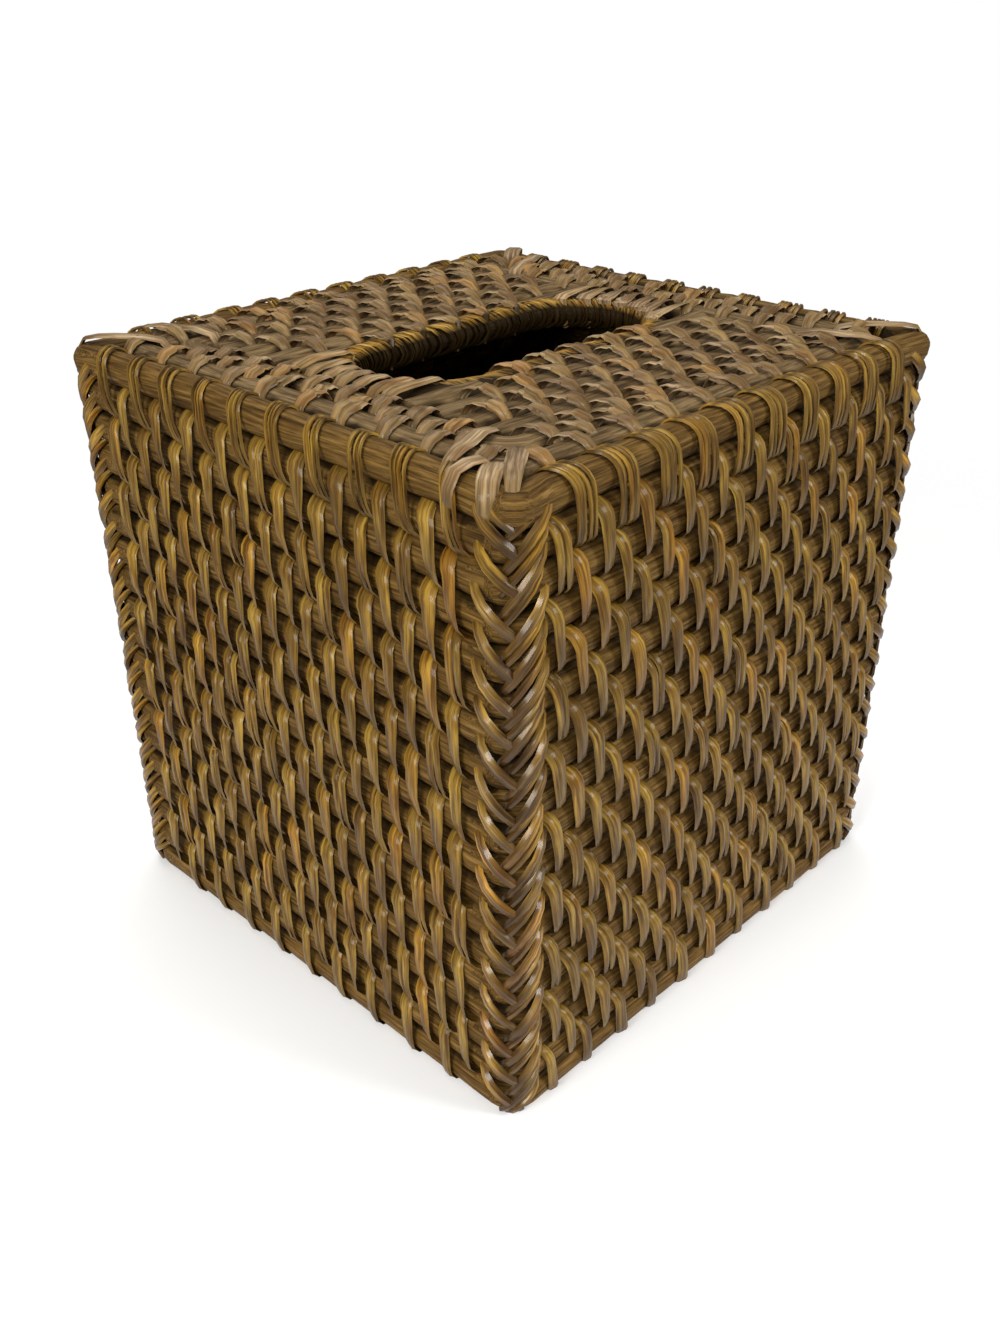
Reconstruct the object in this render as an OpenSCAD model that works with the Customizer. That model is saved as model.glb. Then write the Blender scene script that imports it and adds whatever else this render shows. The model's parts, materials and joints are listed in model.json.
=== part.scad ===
// Cube tissue box cover of coiled rattan: rods laid in courses and lashed together with flat strips.
// Open at the bottom, with an oblong opening in the top for the tissues.
// Origin at the middle of the underside, +Z up, -Y is the front. All lengths in millimetres.

/* [Cover] */
// Outside width, along X, over the strips
cover_w = 144; // [104:1:190]
// Outside depth, along Y, over the strips
cover_d = 140; // [116:1:190]
// Radius of the inner side of every rod's bend at a corner
corner_inside_r = 0.6; // [0.2:0.1:5]

/* [Rods] */
// Thickness of the round rods
rod_d = 6.8; // [5:0.1:8]
// Free space between neighbouring rods, which two strips pass through back to back
rod_gap = 0.92; // [0.9:0.01:1.2]
// Depth of the flat cut along the underside of the lowest rod
foot_flat = 0.5; // [0.2:0.1:1.2]

/* [Opening] */
// Clear width of the opening, along Y
opening_w = 31; // [20:1:36]
// Free space between the opening's rod and the innermost ring, at the two ends of the opening
end_gap = 2.08; // [1:0.01:4]

/* [Strips] */
// Width of a lashing strip
strip_w = 3.2; // [2:0.1:4]
// Thickness of a lashing strip
strip_t = 0.4; // [0.25:0.01:0.41]
// Play between a strip and the rod that it goes round
strip_play = 0.04; // [0.03:0.01:0.05]
// Distance from stitch to stitch along a rod
stitch_pitch = 11.6; // [9.6:0.1:16]
// Width of the strips on the corners
corner_strip_w = 2.6; // [1.5:0.1:3]
// How far an arm of a corner strip runs along the wall while it rises to the next rod
corner_arm_run = 3.4; // [2:0.1:6]
// Width of the thin strips round the edge of the opening
wrap_w = 1.6; // [1:0.1:1.9]

/* [Hidden] */
$fn = 48;

// Rods in a wall below the rim
courses = 18;
// Part of a stitch pitch that each row of stitches is shifted by from the row above
row_shift_share = 0.46;
// Places of the thin strips between two stitches on the opening's edge, as parts of a stitch pitch
wrap_shares = [0.25, 0.5, 0.75];

rod_r = rod_d / 2;
// Bend radius of every rod at a corner, at its middle
corner_bend_r = rod_r + corner_inside_r;
rod_pitch = rod_d + rod_gap;
strip_stand = strip_play + strip_t;
// Middle line of the rods in the walls and the rim
wall_x = cover_w / 2 - strip_stand - rod_r;
wall_y = cover_d / 2 - strip_stand - rod_r;
// Heights of the rods' middles
foot_z = rod_r - foot_flat;
rim_z = foot_z + courses * rod_pitch;
// Middle line of the innermost full ring in the top
inner_x = wall_x - 2 * rod_pitch;
inner_y = wall_y - 2 * rod_pitch;
// Middle line of the rod round the opening, whose length is what the rings leave of the cover's
mouth_r = opening_w / 2 + strip_stand + rod_r;
mouth_x = inner_x - rod_d - end_gap;
mouth_half = mouth_x - mouth_r;
// Straight rods between the inner ring and the opening, on the front and on the back
infill_room = inner_y - mouth_r;
infill_spaces = floor(infill_room / (rod_pitch - strip_play));
infill_pitch = infill_room / infill_spaces;
infill_half = inner_x - rod_r - strip_stand - strip_play;
// Middle of the stitch that ties each short rod beside the opening
stub_tie_x = infill_half - strip_w;
// Length beside each corner that the corner lashing takes, which the stitches leave free
corner_zone = strip_stand + rod_r + corner_bend_r + corner_arm_run + corner_strip_w / 2 + strip_play;
// Overrun of a cut past the body it cuts
cut_over = rod_d;

rod_colour = [0.43, 0.33, 0.2];
strip_colour = [0.6, 0.46, 0.22];
top_strip_colour = [0.6, 0.52, 0.4];

// Height of a rod's middle, counted from the rim down
function course_z(n) = rim_z - n * rod_pitch;

// Part of a number after its whole
function fraction(value) = value - floor(value);

// Middles of the stitches along a straight run, shifted row by row
function stitch_places(half, row) = [
    for (k = [-ceil(half / stitch_pitch) - 1 : ceil(half / stitch_pitch)])
        let (at = (k + fraction(row * row_shift_share)) * stitch_pitch)
        if (abs(at) <= half - strip_w / 2) at
];

// Middles of the stitches that tie the opening's rod to its neighbour
mouth_places = stitch_places(mouth_half, infill_spaces + 1);

// Two flanks and round ends, long along Y, round the points 0 and span
module stadium(span, r) {
    circle(r = r);
    translate([0, span]) circle(r = r);
    translate([-r, 0]) square([2 * r, span]);
}

// A strip closed round two rods that lie a span apart along Y, standing up along Z
module strip_loop(span, width) {
    linear_extrude(height = width, center = true) difference() {
        stadium(span, rod_r + strip_stand);
        stadium(span, rod_r + strip_play);
    }
}

// A strip closed round one rod
module strip_ring(width) {
    linear_extrude(height = width, center = true) difference() {
        circle(r = rod_r + strip_stand);
        circle(r = rod_r + strip_play);
    }
}

// A closed rod with four bent corners, with its middle line on the given half sizes
module rod_ring(half_x, half_y) {
    run_x = half_x - corner_bend_r;
    run_y = half_y - corner_bend_r;
    for (side = [-1, 1]) {
        translate([-run_x, side * half_y, 0]) rotate([0, 90, 0]) cylinder(r = rod_r, h = 2 * run_x);
        translate([side * half_x, run_y, 0]) rotate([90, 0, 0]) cylinder(r = rod_r, h = 2 * run_y);
    }
    for (quarter = [0 : 3])
        translate([(quarter % 3 == 0 ? 1 : -1) * run_x, (quarter < 2 ? 1 : -1) * run_y, 0])
            rotate([0, 0, 90 * quarter])
                rotate_extrude(angle = 90) translate([corner_bend_r, 0]) circle(r = rod_r);
}

// All that lies below the surface the cover stands on
module below_ground() {
    translate([-cover_w / 2 - cut_over, -cover_d / 2 - cut_over, -cut_over])
        cube([cover_w + 2 * cut_over, cover_d + 2 * cut_over, cut_over]);
}

module wall_course(n) {
    color(rod_colour) difference() {
        translate([0, 0, course_z(n)]) rod_ring(wall_x, wall_y);
        if (n == courses) below_ground();
    }
}

// Row n of stitches ties course n to the rod above it, on all four walls
module wall_stitches(n) {
    run_x = cover_w / 2 - corner_zone;
    run_y = cover_d / 2 - corner_zone;
    for (side = [-1, 1]) {
        for (at = stitch_places(run_x, n))
            translate([-side * at, side * wall_y, course_z(n)])
                rotate([90, 0, 90]) strip_loop(rod_pitch, strip_w);
        for (at = stitch_places(run_y, n))
            translate([side * wall_x, side * at, course_z(n)])
                rotate([90, 0, 0]) strip_loop(rod_pitch, strip_w);
    }
}

module wall_lashing(n) {
    color(strip_colour) difference() {
        wall_stitches(n);
        if (n == courses) below_ground();
    }
}

module top_rim() {
    color(rod_colour) translate([0, 0, rim_z]) rod_ring(wall_x, wall_y);
}

module top_ring_outer() {
    color(rod_colour) translate([0, 0, rim_z]) rod_ring(wall_x - rod_pitch, wall_y - rod_pitch);
}

module top_ring_inner() {
    color(rod_colour) translate([0, 0, rim_z]) rod_ring(inner_x, inner_y);
}

// Straight rods that fill one side of the top, between the inner ring and the opening
module infill_rods(side) {
    color(rod_colour)
        for (k = [1 : infill_spaces - 1])
            translate([-infill_half, side * (inner_y - k * infill_pitch), rim_z])
                rotate([0, 90, 0]) cylinder(r = rod_r, h = 2 * infill_half);
}

// Short rods between the inner ring and one end of the opening, scribed to the opening's rod
module mouth_infill(side) {
    color(rod_colour) difference() {
        for (hand = [-1, 1])
            translate([side > 0 ? mouth_half : -infill_half, hand * mouth_r, rim_z])
                rotate([0, 90, 0]) cylinder(r = rod_r, h = infill_half - mouth_half);
        translate([side * mouth_half, 0, rim_z - rod_d])
            cylinder(r = mouth_r + rod_r + strip_stand + strip_play, h = 2 * rod_d, $fn = 96);
    }
}

// The rod bent round the opening: two straights and two half turns
module opening_rim() {
    color(rod_colour) translate([0, 0, rim_z]) for (side = [-1, 1]) {
        translate([-mouth_half, side * mouth_r, 0]) rotate([0, 90, 0])
            cylinder(r = rod_r, h = 2 * mouth_half);
        translate([side * mouth_half, 0, 0]) rotate([0, 0, -90 * side])
            rotate_extrude(angle = 180) translate([mouth_r, 0]) circle(r = rod_r);
    }
}

// One row of stitches in the top, from the rod at near_y towards the middle, on the front or back
module top_row(side, near_y, span, places) {
    for (at = places)
        translate([-side * at, side * near_y, rim_z]) rotate([90, 0, 90])
            rotate([0, 0, 90 * side]) strip_loop(span, strip_w);
}

module top_long_lashing(side) {
    color(top_strip_colour) {
        for (k = [0, 1])
            top_row(side, wall_y - k * rod_pitch, rod_pitch,
                stitch_places(wall_x - k * rod_pitch - corner_zone, k));
        for (k = [0 : infill_spaces - 2])
            top_row(side, inner_y - k * infill_pitch, infill_pitch,
                stitch_places((k == infill_spaces - 2 ? stub_tie_x : infill_half) - strip_w, k + 2));
        for (end = [-1, 1])
            top_row(side, mouth_r + infill_pitch, infill_pitch, [end * stub_tie_x]);
        top_row(side, mouth_r + infill_pitch, infill_pitch, mouth_places);
    }
}

module top_short_lashing(side) {
    color(top_strip_colour) {
        for (k = [0, 1])
            for (at = stitch_places(wall_y - k * rod_pitch - corner_zone, k))
                translate([side * (wall_x - k * rod_pitch), side * at, rim_z]) rotate([90, 0, 0])
                    rotate([0, 0, 90 * side]) strip_loop(rod_pitch, strip_w);
        translate([side * inner_x, 0, rim_z]) rotate([90, 0, 0])
            rotate([0, 0, 90 * side]) strip_loop(inner_x - mouth_x, strip_w);
    }
}

// A strip bent round the corner at a rod, with two arms that rise along the walls
module corner_strap() {
    band_r = corner_bend_r + rod_r + strip_play;
    arm_rise = rod_pitch - corner_strip_w / 2;
    arm_l = norm([corner_arm_run, arm_rise]);
    arm_turn = atan2(arm_rise, corner_arm_run);
    rotate_extrude(angle = 90) translate([band_r, -corner_strip_w / 2])
        square([strip_t, corner_strip_w]);
    for (turn = [0, 1])
        mirror([turn, -turn, 0]) translate([band_r, 0, 0]) rotate([-arm_turn, 0, 0])
            translate([0, -arm_l, -corner_strip_w / 2]) cube([strip_t, arm_l, corner_strip_w]);
}

// The straps of one corner, one at each rod below the rim
module corner_lashing(side_x, side_y) {
    color(strip_colour)
        for (n = [1 : courses])
            mirror([side_x < 0 ? 1 : 0, 0, 0]) mirror([0, side_y < 0 ? 1 : 0, 0])
                translate([wall_x - corner_bend_r, wall_y - corner_bend_r, course_z(n)])
                    corner_strap();
}

// Flat strips laid across the bent rods of the top, along one diagonal
module mitre_lashing(side_x, side_y) {
    strap_l = norm([2 * rod_pitch + rod_r, 2 * rod_pitch + rod_r]);
    color(top_strip_colour)
        mirror([side_x < 0 ? 1 : 0, 0, 0]) mirror([0, side_y < 0 ? 1 : 0, 0])
            translate([wall_x, wall_y, rim_z + rod_r + strip_play]) rotate([0, 0, 45])
                for (across = [-1, 0, 1])
                    translate([-strap_l, across * (corner_strip_w + rod_gap) - corner_strip_w / 2, 0])
                        cube([strap_l, corner_strip_w, strip_t]);
}

// Thin strips round the opening's rod, between the stitches and round both ends
module opening_wrap() {
    clear_turn = asin((strip_w + wrap_w) / mouth_r);
    turn_step = asin(stitch_pitch * wrap_shares[0] / mouth_r);
    color(strip_colour) translate([0, 0, rim_z]) for (side = [-1, 1]) {
        for (at = mouth_places, share = wrap_shares)
            if (at + share * stitch_pitch < mouth_half)
                translate([-side * (at + share * stitch_pitch), side * mouth_r, 0])
                    rotate([90, 0, 90]) strip_ring(wrap_w);
        for (turn = [clear_turn : turn_step : 90], hand = [-1, 1])
            translate([side * mouth_half, 0, 0]) rotate([0, 0, side * hand * turn])
                translate([side * mouth_r, 0, 0]) rotate([90, 0, 0]) strip_ring(wrap_w);
    }
}

top_rim();
top_ring_outer();
top_ring_inner();
infill_rods(-1);  // top_front_rods
infill_rods(1);  // top_back_rods
mouth_infill(-1);  // mouth_infill_left
mouth_infill(1);  // mouth_infill_right
opening_rim();
wall_course(1);  // wall_course_01
wall_course(2);  // wall_course_02
wall_course(3);  // wall_course_03
wall_course(4);  // wall_course_04
wall_course(5);  // wall_course_05
wall_course(6);  // wall_course_06
wall_course(7);  // wall_course_07
wall_course(8);  // wall_course_08
wall_course(9);  // wall_course_09
wall_course(10);  // wall_course_10
wall_course(11);  // wall_course_11
wall_course(12);  // wall_course_12
wall_course(13);  // wall_course_13
wall_course(14);  // wall_course_14
wall_course(15);  // wall_course_15
wall_course(16);  // wall_course_16
wall_course(17);  // wall_course_17
wall_course(18);  // wall_course_18
wall_lashing(1);  // wall_lashing_01
wall_lashing(2);  // wall_lashing_02
wall_lashing(3);  // wall_lashing_03
wall_lashing(4);  // wall_lashing_04
wall_lashing(5);  // wall_lashing_05
wall_lashing(6);  // wall_lashing_06
wall_lashing(7);  // wall_lashing_07
wall_lashing(8);  // wall_lashing_08
wall_lashing(9);  // wall_lashing_09
wall_lashing(10);  // wall_lashing_10
wall_lashing(11);  // wall_lashing_11
wall_lashing(12);  // wall_lashing_12
wall_lashing(13);  // wall_lashing_13
wall_lashing(14);  // wall_lashing_14
wall_lashing(15);  // wall_lashing_15
wall_lashing(16);  // wall_lashing_16
wall_lashing(17);  // wall_lashing_17
wall_lashing(18);  // wall_lashing_18
corner_lashing(-1, -1);  // corner_lashing_front_left
corner_lashing(1, -1);  // corner_lashing_front_right
corner_lashing(-1, 1);  // corner_lashing_back_left
corner_lashing(1, 1);  // corner_lashing_back_right
top_long_lashing(-1);  // top_lashing_front
top_long_lashing(1);  // top_lashing_back
top_short_lashing(-1);  // top_lashing_left
top_short_lashing(1);  // top_lashing_right
mitre_lashing(-1, -1);  // mitre_lashing_front_left
mitre_lashing(1, -1);  // mitre_lashing_front_right
mitre_lashing(-1, 1);  // mitre_lashing_back_left
mitre_lashing(1, 1);  // mitre_lashing_back_right
opening_wrap();
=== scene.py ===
import json
import math
import random

import bpy
from mathutils import Matrix, Vector, noise

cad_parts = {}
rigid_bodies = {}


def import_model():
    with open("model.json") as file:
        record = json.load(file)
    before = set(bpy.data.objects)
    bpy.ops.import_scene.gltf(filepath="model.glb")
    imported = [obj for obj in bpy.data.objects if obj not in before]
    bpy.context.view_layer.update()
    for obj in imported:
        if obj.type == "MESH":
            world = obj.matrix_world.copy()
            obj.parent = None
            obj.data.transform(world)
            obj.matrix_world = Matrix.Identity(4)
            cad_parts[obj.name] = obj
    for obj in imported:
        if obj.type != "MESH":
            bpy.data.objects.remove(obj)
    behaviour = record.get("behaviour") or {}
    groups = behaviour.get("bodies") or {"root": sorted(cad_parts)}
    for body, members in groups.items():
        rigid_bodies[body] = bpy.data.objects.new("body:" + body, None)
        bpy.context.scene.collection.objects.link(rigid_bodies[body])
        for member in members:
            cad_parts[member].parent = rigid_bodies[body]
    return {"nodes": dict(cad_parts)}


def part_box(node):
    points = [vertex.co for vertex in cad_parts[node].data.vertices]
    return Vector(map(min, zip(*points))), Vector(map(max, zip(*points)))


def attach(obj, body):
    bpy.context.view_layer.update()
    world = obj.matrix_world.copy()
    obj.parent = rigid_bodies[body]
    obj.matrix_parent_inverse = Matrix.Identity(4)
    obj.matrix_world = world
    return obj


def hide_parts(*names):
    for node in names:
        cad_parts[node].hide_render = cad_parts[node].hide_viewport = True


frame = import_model()

bl_info = {
    "name": "Rattan Tissue Box Cover",
    "version": (1, 0, 0),
    "blender": (4, 5, 0),
    "location": "View3D > Sidebar > Rattan Cover",
    "description": "Bends the rods and lashes the strips of a coiled rattan tissue box cover",
    "category": "Object",
}

MM = 0.001

# Places of the rods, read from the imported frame
RIM_LOW, RIM_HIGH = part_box("top_rim")
ROD_R = (RIM_HIGH.z - RIM_LOW.z) / 2
WALL_X = RIM_HIGH.x - ROD_R
WALL_Y = RIM_HIGH.y - ROD_R
RIM_Z = RIM_HIGH.z - ROD_R
COURSES = sorted(name for name in frame["nodes"] if name.startswith("wall_course_"))
COURSE_Z = [RIM_Z] + [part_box(name)[1].z - ROD_R for name in COURSES]
ROD_PITCH = COURSE_Z[0] - COURSE_Z[1]
TOP_RINGS = ["top_rim", "top_ring_outer", "top_ring_inner"]
INNER_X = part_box("top_ring_inner")[1].x - ROD_R
INNER_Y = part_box("top_ring_inner")[1].y - ROD_R
MOUTH_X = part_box("opening_rim")[1].x - ROD_R
MOUTH_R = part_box("opening_rim")[1].y - ROD_R
MOUTH_HALF = MOUTH_X - MOUTH_R
INFILL_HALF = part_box("top_back_rods")[1].x
INFILL_RODS = 3
INFILL_PITCH = (INNER_Y - MOUTH_R) / (INFILL_RODS + 1)
MOUTH_ROW = len(TOP_RINGS) + INFILL_RODS

# The four walls: name, turn about the upright axis, half run along the wall, distance from the middle
WALLS = [
    ("front", 0, WALL_X, WALL_Y),
    ("right", 90, WALL_Y, WALL_X),
    ("back", 180, WALL_X, WALL_Y),
    ("left", 270, WALL_Y, WALL_X),
]
CORNERS = [("front_left", 180), ("front_right", 270), ("back_right", 0), ("back_left", 90)]

# Making of the rods: sides of the section, cuts in a long run, steps round a corner and round an end of
# the opening, and the longest run that stays uncut
ROD_SIDES = 24
RUN_CUTS = 25
BEND_STEPS = 6
MOUTH_STEPS = 24
RUN_LONGEST = 10 * MM

# How near each other vertices are merged, and over which angle an edge stays sharp
ROD_MERGE = 0.01 * MM
STRIP_MERGE = 0.004 * MM
ROD_EDGE = math.radians(50)
STRIP_EDGE = math.radians(48)

# Sides of a rod on which a neighbour lies: part outwards along the top or wall, and part upwards
WALL_NEIGHBOURS = ((0, 1), (0, -1))
TOP_NEIGHBOURS = ((1, 0), (-1, 0))
RIM_NEIGHBOURS = ((-1, 0), (0, -1))
MOUTH_NEIGHBOURS = ((1, 0),)

# Ribs and fine grain of a rod: how fast their noise changes along it and round it, their parts of the
# rib depth, and the part by which the surface is sunk
RIB_SCALES = (18, 4.2)
FINE_SCALES = (40, 9.5)
RIB_PART = 0.8
FINE_PART = 0.6
SUNK_PART = 0.2

# Swellings of a rod: where its stitches hold it, in parts of a pitch past its row's shift, how fast and
# how much noise changes the swellings, and how much they lighten the painted shade where rods meet
HELD_SHARE = 0.29
SWELL_SCALE = 90
SWELL_NOISE = 0.6
SWELL_SHADE = 0.4

# How fast the noise changes by which a rod strays, and how far the noises and the grain move on from
# rod to rod
STRAY_SCALE = 28
SWELL_STEP = 7.3
NOISE_STEPS = (3.7, 1.3, 2.9)
GRAIN_STEPS = (0.31, 0.05)

# The rim's bulge at a corner: its reach in rod radii, and how steeply and how roundly it sets in
BULGE_REACH = 3
BULGE_RISE = 1.6
BULGE_POWER = 1.5

# Outline of a strip's section: place across its width, and height over its middle in thicknesses.
# The shift is how far its grain moves on with its tone.
STRIP_SECTION = [(-0.5, -0.1), (-0.3, 0.75), (0.28, 0.8), (0.5, -0.1), (0.0, -0.5)]
TONE_SHIFT = 0.5

# How a stitch's width, twist, rise and way along the rods go on from its upper end to its lower end
STITCH_WIDTHS = [(0.0, 0.95), (0.25, 1.06), (0.75, 0.98), (1.0, 0.92)]
HOOK_WIDTHS = [(0.0, 0.65), (0.3, 1.0), (0.5, 1.12), (0.75, 1.08), (1.0, 0.92)]
POINTED_WIDTHS = [(0.0, 0.9), (0.25, 1.04), (0.66, 1.0), (0.84, 0.8), (1.0, 0.3)]
STITCH_TWISTS = [(0.0, -0.3), (0.3, -0.35), (0.5, 0.1), (0.75, 1.1), (1.0, 1.2)]
STITCH_RISES = [(0.0, 0.0), (0.25, 0.7), (0.45, 1.0), (0.7, 0.6), (1.0, 0.0)]
STITCH_WAY = [(0.0, -0.52), (0.2, -0.2), (0.4, 0.06), (0.65, 0.28), (0.85, 0.56), (1.0, 0.82)]

# Angles round a rod in degrees, from its top outwards: where a stitch comes into sight on a wall, over
# the rim, in the top and at the opening, and where it leaves the upper rod
STITCH_START = -8
RIM_START = -75
TOP_START = -72
MOUTH_START = 58
STITCH_LEAVE = 92

# Stations of a stitch: most degrees from one to the next on the upper rod, how many steps before it
# leaves that rod its form begins, steps on the lower rod, heights in spans at which it lies free, and
# the angles inside, with a 1 for the upper rod
UPPER_STEP = 20
FORMED_STEPS = 5
LOWER_STEPS = 4
FREE_HEIGHTS = (0.62, 0.25)
BACK_TURNS = ((160, 0), (200, 1))

# Lift of a twisted strip in widths, part of its width that it has inside, and how far it lies in the
# light: where its form runs as a hump, before that, and inside. A hump has a base, a height and the
# shares of a half wave at its ends.
EDGE_LIFT = 0.4
BACK_WIDTH = 0.85
STITCH_SHADES = (0.25, 2.2, 0.0, 1.0)
OVER_SHADE = 0.9
BACK_SHADE = 0.25

# How much single stitches differ: slack and stray in millimetres, and parts of their twist, slant and width
STITCH_BOWS = (0.05, 0.45)
STITCH_STRAYS = (-0.45, 0.45)
STITCH_TURNS = (0.6, 1.4)
STITCH_SLANTS = (0.8, 1.2)
STITCH_WIDES = (0.86, 1.12)

# Stitches of the walls: width and slant in parts of a strip's, places of the strands side by side in
# strip widths, and form. Those of the front and the right are darts.
ONE_STRAND = (0.0,)
TWO_STRANDS = (-0.26, 0.26)
TWO_STRAND_WIDTH = 0.55
TWO_STRAND_PART = 0.25
DART = {"widths": POINTED_WIDTHS, "twist": -18}
LOW_STITCH = (0.95, 0.8, ONE_STRAND, {"twist": 10, "rise": 0.2})
RIM_STITCH = (0.2, 1, (-0.5, -0.24, 0.06, 0.42), {"start": RIM_START})
RIM_STITCH_WIDE = (0.3, 1, (-0.85, -0.5, -0.17, 0.17, 0.5), {"start": RIM_START})

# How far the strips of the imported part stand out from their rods
STRIP_STAND = 0.44 * MM

# An arm of the corner braid: share of its way, and millimetres that it stands out from the rods there
CORNER_ARM = [
    (0.0, -2.2), (0.1, -0.6), (0.22, 0.35), (0.38, 0.9), (0.55, 1.1), (0.72, 1.0), (0.86, 0.6),
    (1.0, -0.5)]

# How much the arms differ: parts of their reach, of their end past the corner, of their drop and of
# how far they stand out, and their lean in radians
ARM_REACHES = (0.9, 1.1)
ARM_ENDS = (0.5, 1.3)
ARM_DROPS = (0.92, 1.08)
ARM_LIFTS = (0.85, 1.15)
ARM_LEANS = (-0.5, 0.1)

# Form of an arm: its end past the corner, the least height that it ends at, the powers of the share
# that its way and its drop follow, its thickness in strips, how far it turns to its last colour, painted
# shade, at the end, and its widths and its light as humps
ARM_END = -2.0 * MM
ARM_LOWEST = 0.3 * MM
ARM_WAY_POWER = 0.95
ARM_DROP_POWER = 1.05
ARM_THICK = 1.9
ARM_END_SHADE = 1.05
ARM_WIDTHS = (0.55, 0.5, 0.12, 0.92)
ARM_SHADES = (0.05, 1.5, 0.04, 0.95)

# The braid: reach and drop of an arm, and its start over a rod in pitches. The two arms under the rim
# have a start in pitches and parts of the braid's width, reach and drop. The arms at each rod have a
# side, millimetres more for their start, and the same parts.
BRAID_REACH = 9.0 * MM
BRAID_DROP = 11.4 * MM
BRAID_START = 0.75
BRAID_TOP = (1.2, 0.8, 0.55, 0.62)
BRAID_ARMS = [(-1, 3.0, 1.05, 1, 1), (1, 3.6, 1, 0.86, 1.28), (1, -0.3, 0.65, 0.78, 1.15)]

# Stitches of the top: distance between their two turns, part of the width left at their lower end, parts
# of their width and of the walls' slant that single ones have, and their width on the long and the
# short sides in strip widths
HOOK_SPAN = 1.6 * MM
HOOK_TAPER = 0.45
HOOK_WIDES = (0.85, 1.15)
HOOK_SLANTS = (0.45, 0.8)
LONG_SIDE_WIDTH = 1.18
SHORT_SIDE_WIDTH = 1.35

# Length beside a mitre that they leave free, row number and part of the width of the row over the
# valley between two rings, and the angle at which the stitches at the opening end, in front and behind
MITRE_ROOM = 5.5 * MM
BETWEEN_ROW = 0.4
BETWEEN_WIDTH = 0.9
MOUTH_END_FRONT = 100
MOUTH_END_BACK = 30

# Straps from the inner ring to an end of the opening: places across it, inset from the ring, and slant
STRAP_PLACES = [at * MM for at in (-14.6, -9.8, -4.9, 0, 4.9, 9.8, 14.6)]
STRAP_INSET = 5.2 * MM
STRAP_SLANT = 0.8 * MM

# Bands draped over a mitre, point by point: millimetres in from either wall and up from the rod's
# middle, and width in strip widths
MITRE_BANDS = [
    [(19.5, 22.6, 0.5, 0.8), (17.4, 22.0, 3.8, 1.0), (12.6, 20.4, 4.8, 1.05), (7.6, 18.4, 4.5, 1.05),
     (3.6, 16.8, 4.6, 0.9), (0.4, 15.6, 4.0, 0.65), (-2.0, 14.8, 2.6, 0.45), (-2.6, 14.4, 0.0, 0.3)],
    [(4.0, 10.8, -0.5, 0.9), (4.8, 10.4, 3.2, 1.0), (3.2, 10.6, 4.7, 1.05), (0.2, 10.9, 4.8, 1.05),
     (-2.8, 11.2, 4.0, 1.0), (-4.3, 11.4, 1.2, 0.95), (-4.4, 11.6, -1.6, 0.8), (-2.6, 11.8, -3.8, 0.6)],
    [(5.4, 9.4, 0.5, 1.0), (5.2, 8.8, 3.6, 1.15), (2.6, 6.9, 4.6, 1.2), (-0.4, 4.9, 4.6, 1.2),
     (-2.8, 3.2, 4.0, 1.1), (-4.3, 2.0, 1.8, 1.0), (-4.5, 1.8, -0.6, 0.9), (-2.8, 2.0, -2.8, 0.7)],
    [(15.0, 12.6, 0.5, 0.9), (13.2, 10.9, 3.9, 1.0), (10.4, 8.6, 4.6, 1.05), (7.4, 6.2, 4.7, 1.05),
     (4.2, 3.8, 4.7, 1.0), (1.6, 1.5, 4.6, 0.9), (-0.6, -0.4, 4.1, 0.75), (-1.6, -1.2, 2.2, 0.6)],
]

# Which of these bands each corner has, and how they look: width and thickness in strips, millimetres
# over the rod's middle under which they lie in the dark, how far in the light that still is, how fast
# they take their last colour, wear and painted light, and their tones
BANDS_AT = {180: (0, 1, 2, 3), 270: (0, 3), 0: (0, 2), 90: (0, 3)}
BAND_WIDTH = 1.1
BAND_THICK = 1.1
BAND_SUNK = -2
BAND_DARK = 0.1
BAND_WEAR_AND_LIGHT = 0.9
BAND_TONES = (0.35, 0.7)

# Thin strips round the opening: stations, thickness in strips, distance from strip to strip in widths,
# parts of their width that single ones have, and their lean and clearance in millimetres
WRAP_STEPS = 12
WRAP_THICK = 0.8
WRAP_SPACING = 1.15
WRAP_WIDES = (0.6, 1.15)
WRAP_LEANS = (1.6, 4.6)
WRAP_CLEARS = (-0.2, 0.1)

# How far they lie inwards and down, and how far in the light, from the outer side over the top and inside
WRAP_ASIDE = 0.4 * MM
WRAP_SINK = WRAP_ASIDE * 0.6
WRAP_SHADES = [(0.0, 0.4), (0.12, 1.0), (0.3, 1.0), (0.35, 0.6), (0.41, 0.03), (1.0, 0.0)]

# Colours that multiply a rod's grain, by its cracks, its blotches and its tone
WHITE = (1.0, 1.0, 1.0)
CRACK_STOPS = [(0.36, (0.12, 0.10, 0.10)), (0.47, WHITE)]
WARM_STOPS = [(0.3, (0.72, 0.68, 0.62)), (0.6, WHITE), (0.8, (1.15, 1.12, 1.0))]
ROD_TONES = [(0.0, (0.8, 0.78, 0.78)), (0.5, WHITE), (1.0, (1.12, 1.1, 1.02))]

# Paler grain of the top's rods, how far these have turned to it, and the painted shade where rods meet
PALE_STOPS = [(0.36, (0.052, 0.033, 0.016)), (0.62, (0.205, 0.144, 0.076))]
TOP_FADED = 0.7
PAINTED_VALLEY_SHADE = (0.008, 0.004, 0.001)

# Colours that multiply a strip's grain, by its stains and its tone
STAIN_STOPS = [(0.35, (0.7, 0.6, 0.5)), (0.55, WHITE), (0.8, (1.12, 1.08, 1.0))]
STRIP_TONES = [
    (0.0, (0.70, 0.62, 0.55)), (0.35, (0.95, 0.92, 0.92)), (0.75, (1.1, 1.07, 0.96)),
    (0.93, (1.2, 0.98, 0.7)), (1.0, (1.3, 1.25, 1.05))]
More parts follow.
